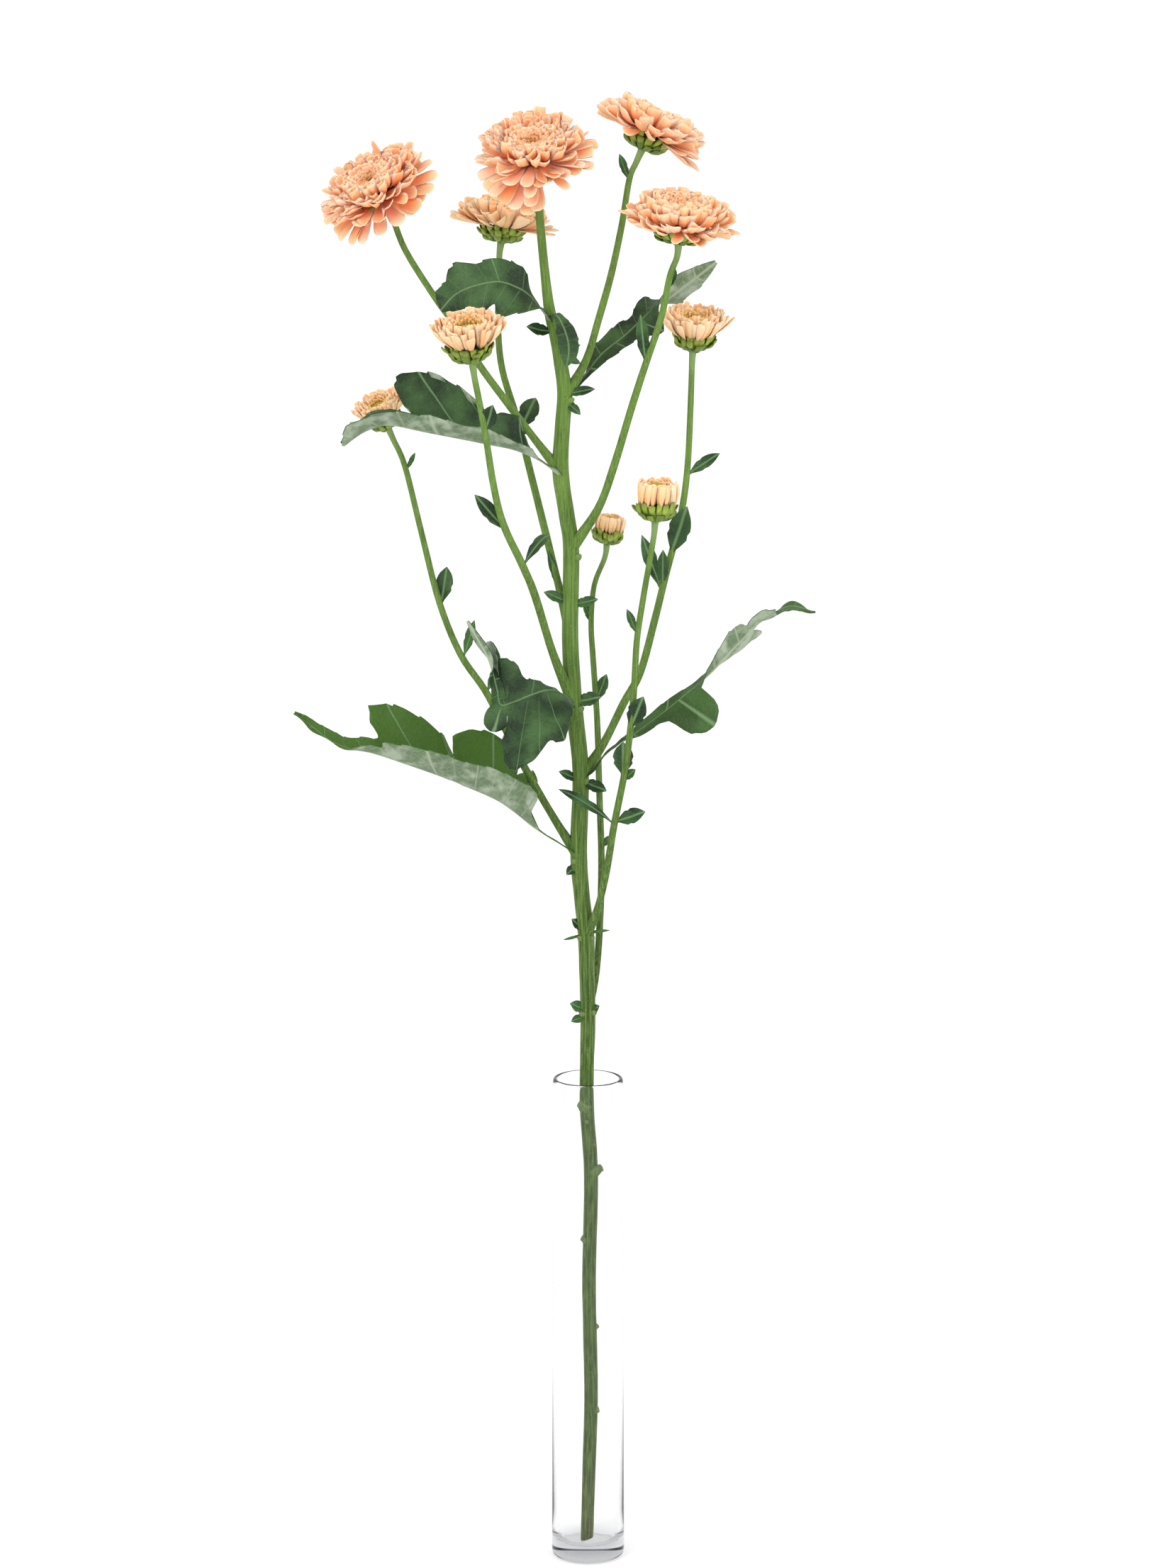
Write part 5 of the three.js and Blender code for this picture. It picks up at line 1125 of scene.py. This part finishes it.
class SPRAY_OT_vase(Operator):
    """Turns the tube vase: thin wall, fire-polished rim, thick rounded base."""

    bl_idname = "spray.vase"
    bl_label = "Glass vase"

    def execute(self, context):
        vase = context.scene.spray_vase
        height, wall, floor = vase.height, vase.wall, vase.floor

        def outer(z):
            return lerp(vase.base_radius, vase.neck_radius, z / height)

        rim = height - 5 * MM
        inner = outer(floor) - wall
        profile = [(0, 0)] + [(outer(0) - inset * MM, z * MM) for inset, z in HEEL]
        profile += [(outer(z), z) for z in (0.1 * height, 0.4 * height, 0.7 * height, rim)]
        profile += [(radius * MM, height - below * MM) for radius, below in RIM_BEAD]
        profile += [(outer(height) - wall + 0.2 * MM, height - 0.5 * MM),
                    (outer(height) - wall, height - 1.6 * MM)]
        profile += [(outer(z) - wall, z) for z in (rim, 0.7 * height, 0.4 * height)]
        profile += [(inner - inset * MM, floor + z * MM) for inset, z in WELL] + [(0, floor)]
        bm = bmesh.new()
        bm.loops.layers.uv.new("UVMap")
        verts = [bm.verts.new((radius, 0, z)) for radius, z in profile]
        edges = [bm.edges.new(pair) for pair in zip(verts, verts[1:])]
        bmesh.ops.spin(bm, geom=verts + edges, cent=(0, 0, 0), axis=UP, angle=2 * math.pi,
                       steps=vase.steps, use_merge=True)
        bmesh.ops.remove_doubles(bm, verts=bm.verts, dist=1e-6)
        bmesh.ops.recalc_face_normals(bm, faces=bm.faces)
        make_piece(bm, "glass_vase", "glass", [soda_lime_glass(vase)], "vase")
        return {"FINISHED"}


class SPRAY_OT_stems(Operator):
    """Grows the main stem and the nine side stems with their leaflets and stubs."""

    bl_idname = "spray.stems"
    bl_label = "Stems and leaflets"

    def execute(self, context):
        stem, leaf = context.scene.spray_stem, context.scene.spray_leaf
        materials = [stem_skin(stem), leaf_cuticle(leaf), leaf_felt(leaf)]
        leaflet = leaflet_template()
        main = MAIN_STEM + neck_points(HEADS["top"], MAIN_STEM[-1][3])
        bm = add_part(bmesh.new(), tube(main, stem.ribs, stem.rib_depth, 45, 5, CUT_SLANT))
        add_knobs(bm, main, STUBS, STUB_SHAPE, 5, 0.05, 2, 0.3)
        add_knobs(bm, main, AXIL_BUDS, AXIL_BUD_SHAPE, 3, 0.08, 3, 0.2)
        add_leaflets(bm, leaflet, main, MAIN_LEAFLETS)
        make_piece(bm, "stem_main", "stem", materials, "main_stem")
        for name, side in SIDE_STEMS.items():
            points = stem_points(side["line"], side["radii"], HEADS[name])
            bm = add_part(bmesh.new(), tube(points, 6, stem.rib_depth * 0.6, 24, 5))
            add_leaflets(bm, leaflet, points, side["leaflets"])
            make_piece(bm, f"stem_{name}", "stem", materials, f"side_stem_{name}")
        bpy.data.meshes.remove(leaflet)
        return {"FINISHED"}


class SPRAY_OT_leaves(Operator):
    """Shapes the seven large lobed leaves."""

    bl_idname = "spray.leaves"
    bl_label = "Large leaves"

    def execute(self, context):
        leaf = context.scene.spray_leaf
        materials = [leaf_cuticle(leaf), leaf_felt(leaf)]
        for name, shape in LARGE_LEAVES.items():
            bm = large_leaf(shape, leaf.thickness, int(name))
            make_piece(bm, f"lobed_leaf_{name}", "leaf", materials, f"leaf_{name}")
        return {"FINISHED"}


class SPRAY_OT_calyxes(Operator):
    """Lays the bracts of each head's calyx."""

    bl_idname = "spray.calyxes"
    bl_label = "Calyxes"

    def execute(self, context):
        skin = bract_skin(context.scene.spray_heads)
        dress_heads(make_bracts, petal_template(), BRACT_SEED, ("bracts", "calyx"),
                    ("calyx", "calyx"), (skin, skin))
        return {"FINISHED"}


class SPRAY_OT_petals(Operator):
    """Sets the ray petals of every head."""

    bl_idname = "spray.petals"
    bl_label = "Petals"

    def execute(self, context):
        heads = context.scene.spray_heads
        pinks = heads.pink_deep_and_shade, heads.pink
        grown = petal_tissue("petal_tissue", heads.petal_deep_and_shade, heads.petal_base, heads.petal,
                             heads.petal_cream_and_edge_highlight, *pinks, heads.heart)
        young = petal_tissue("young_petal_tissue", heads.young_deep_and_shade, heads.young_base,
                             heads.young_petal, heads.young_cream_and_edge_highlight, *pinks, heads.young_heart)
        dress_heads(make_petals, petal_template(), PETAL_SEED, ("ray_petals", "petals"),
                    ("petal", "young_petal"), (grown, young))
        return {"FINISHED"}


class SPRAY_OT_florets(Operator):
    """Sets the disc florets of every head."""

    bl_idname = "spray.florets"
    bl_label = "Disc florets"

    def execute(self, context):
        heads = context.scene.spray_heads
        grown = floret_tissue("floret_tissue", heads.floret_shade, heads.floret)
        young = floret_tissue("young_floret_tissue", heads.young_floret_shade, heads.young_floret)
        floret = template(turned(FLORET_PROFILE, 6, Vector), "floret")
        dress_heads(make_florets, floret, FLORET_SEED, ("florets", "disc"),
                    ("disc", "young_disc"), (grown, young))
        return {"FINISHED"}


class SPRAY_OT_stage(Operator):
    """Sets the light table, the soft lights and the camera."""

    bl_idname = "spray.stage"
    bl_label = "Stage"

    def execute(self, context):
        stage = context.scene.spray_stage
        scene = context.scene
        bm = bmesh.new()
        bmesh.ops.create_circle(bm, cap_ends=True, segments=96, radius=4)
        mesh = template(bm, "studio_floor")
        mesh.materials.append(opal_acrylic())
        floor = bpy.data.objects.new("studio_floor", mesh)
        scene.collection.objects.link(floor)

        world = bpy.data.worlds.new("soft_white_studio")
        world.use_nodes = True
        world.node_tree.nodes["Background"].inputs["Color"].default_value = WHITE
        world.node_tree.nodes["Background"].inputs["Strength"].default_value = SKY_STRENGTH
        scene.world = world

        for name, power, size, place in (
                ("key_light", stage.key_power, 1.4, (-1.2, -1.9, 2.2)),
                ("fill_light", stage.fill_power, 1.6, (1.8, -1.6, 1.2))):
            light = bpy.data.lights.new(name, "AREA")
            light.energy = power
            light.size = size
            lamp = bpy.data.objects.new(name, light)
            lamp.location = place
            aim = LIGHTS_AIM - lamp.location
            lamp.rotation_euler = aim.to_track_quat("-Z", "Y").to_euler()
            scene.collection.objects.link(lamp)

        camera = bpy.data.cameras.new("front_camera")
        camera.sensor_fit = "VERTICAL"
        camera.sensor_height = 36
        camera.lens = stage.lens
        eye = bpy.data.objects.new("front_camera", camera)
        eye.location = CAMERA_PLACE
        eye.rotation_euler = (math.radians(90 - CAMERA_DOWN), 0, 0)
        scene.collection.objects.link(eye)
        scene.camera = eye
        scene.view_settings.view_transform = "Standard"
        return {"FINISHED"}


class SPRAY_PT_flowers(Panel):
    """Lists the pieces of the spray and their settings."""

    bl_idname = "SPRAY_PT_flowers"
    bl_label = "Chrysanthemum spray"
    bl_space_type = "VIEW_3D"
    bl_region_type = "UI"
    bl_category = "Flowers"

    def draw(self, context):
        for operator, group in PIECES:
            box = self.layout.box()
            box.operator(operator.bl_idname)
            settings = getattr(context.scene, group)
            for name in settings.__annotations__:
                box.prop(settings, name)


GROUPS = {
    "spray_vase": VaseSettings, "spray_stem": StemSettings, "spray_leaf": LeafSettings,
    "spray_heads": HeadSettings, "spray_stage": StageSettings,
}
PIECES = [
    (SPRAY_OT_vase, "spray_vase"), (SPRAY_OT_stems, "spray_stem"),
    (SPRAY_OT_leaves, "spray_leaf"), (SPRAY_OT_calyxes, "spray_heads"),
    (SPRAY_OT_petals, "spray_heads"), (SPRAY_OT_florets, "spray_heads"),
    (SPRAY_OT_stage, "spray_stage"),
]
CLASSES = [*GROUPS.values(), *(operator for operator, _ in PIECES), SPRAY_PT_flowers]


def register():
    for item in CLASSES:
        bpy.utils.register_class(item)
    for name, group in GROUPS.items():
        setattr(bpy.types.Scene, name, PointerProperty(type=group))


def unregister():
    for name in GROUPS:
        delattr(bpy.types.Scene, name)
    for item in reversed(CLASSES):
        bpy.utils.unregister_class(item)


def main():
    register()
    for operator, _ in PIECES:
        category, name = operator.bl_idname.split(".")
        getattr(getattr(bpy.ops, category), name)()
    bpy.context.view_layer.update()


if __name__ == "__main__":
    main()
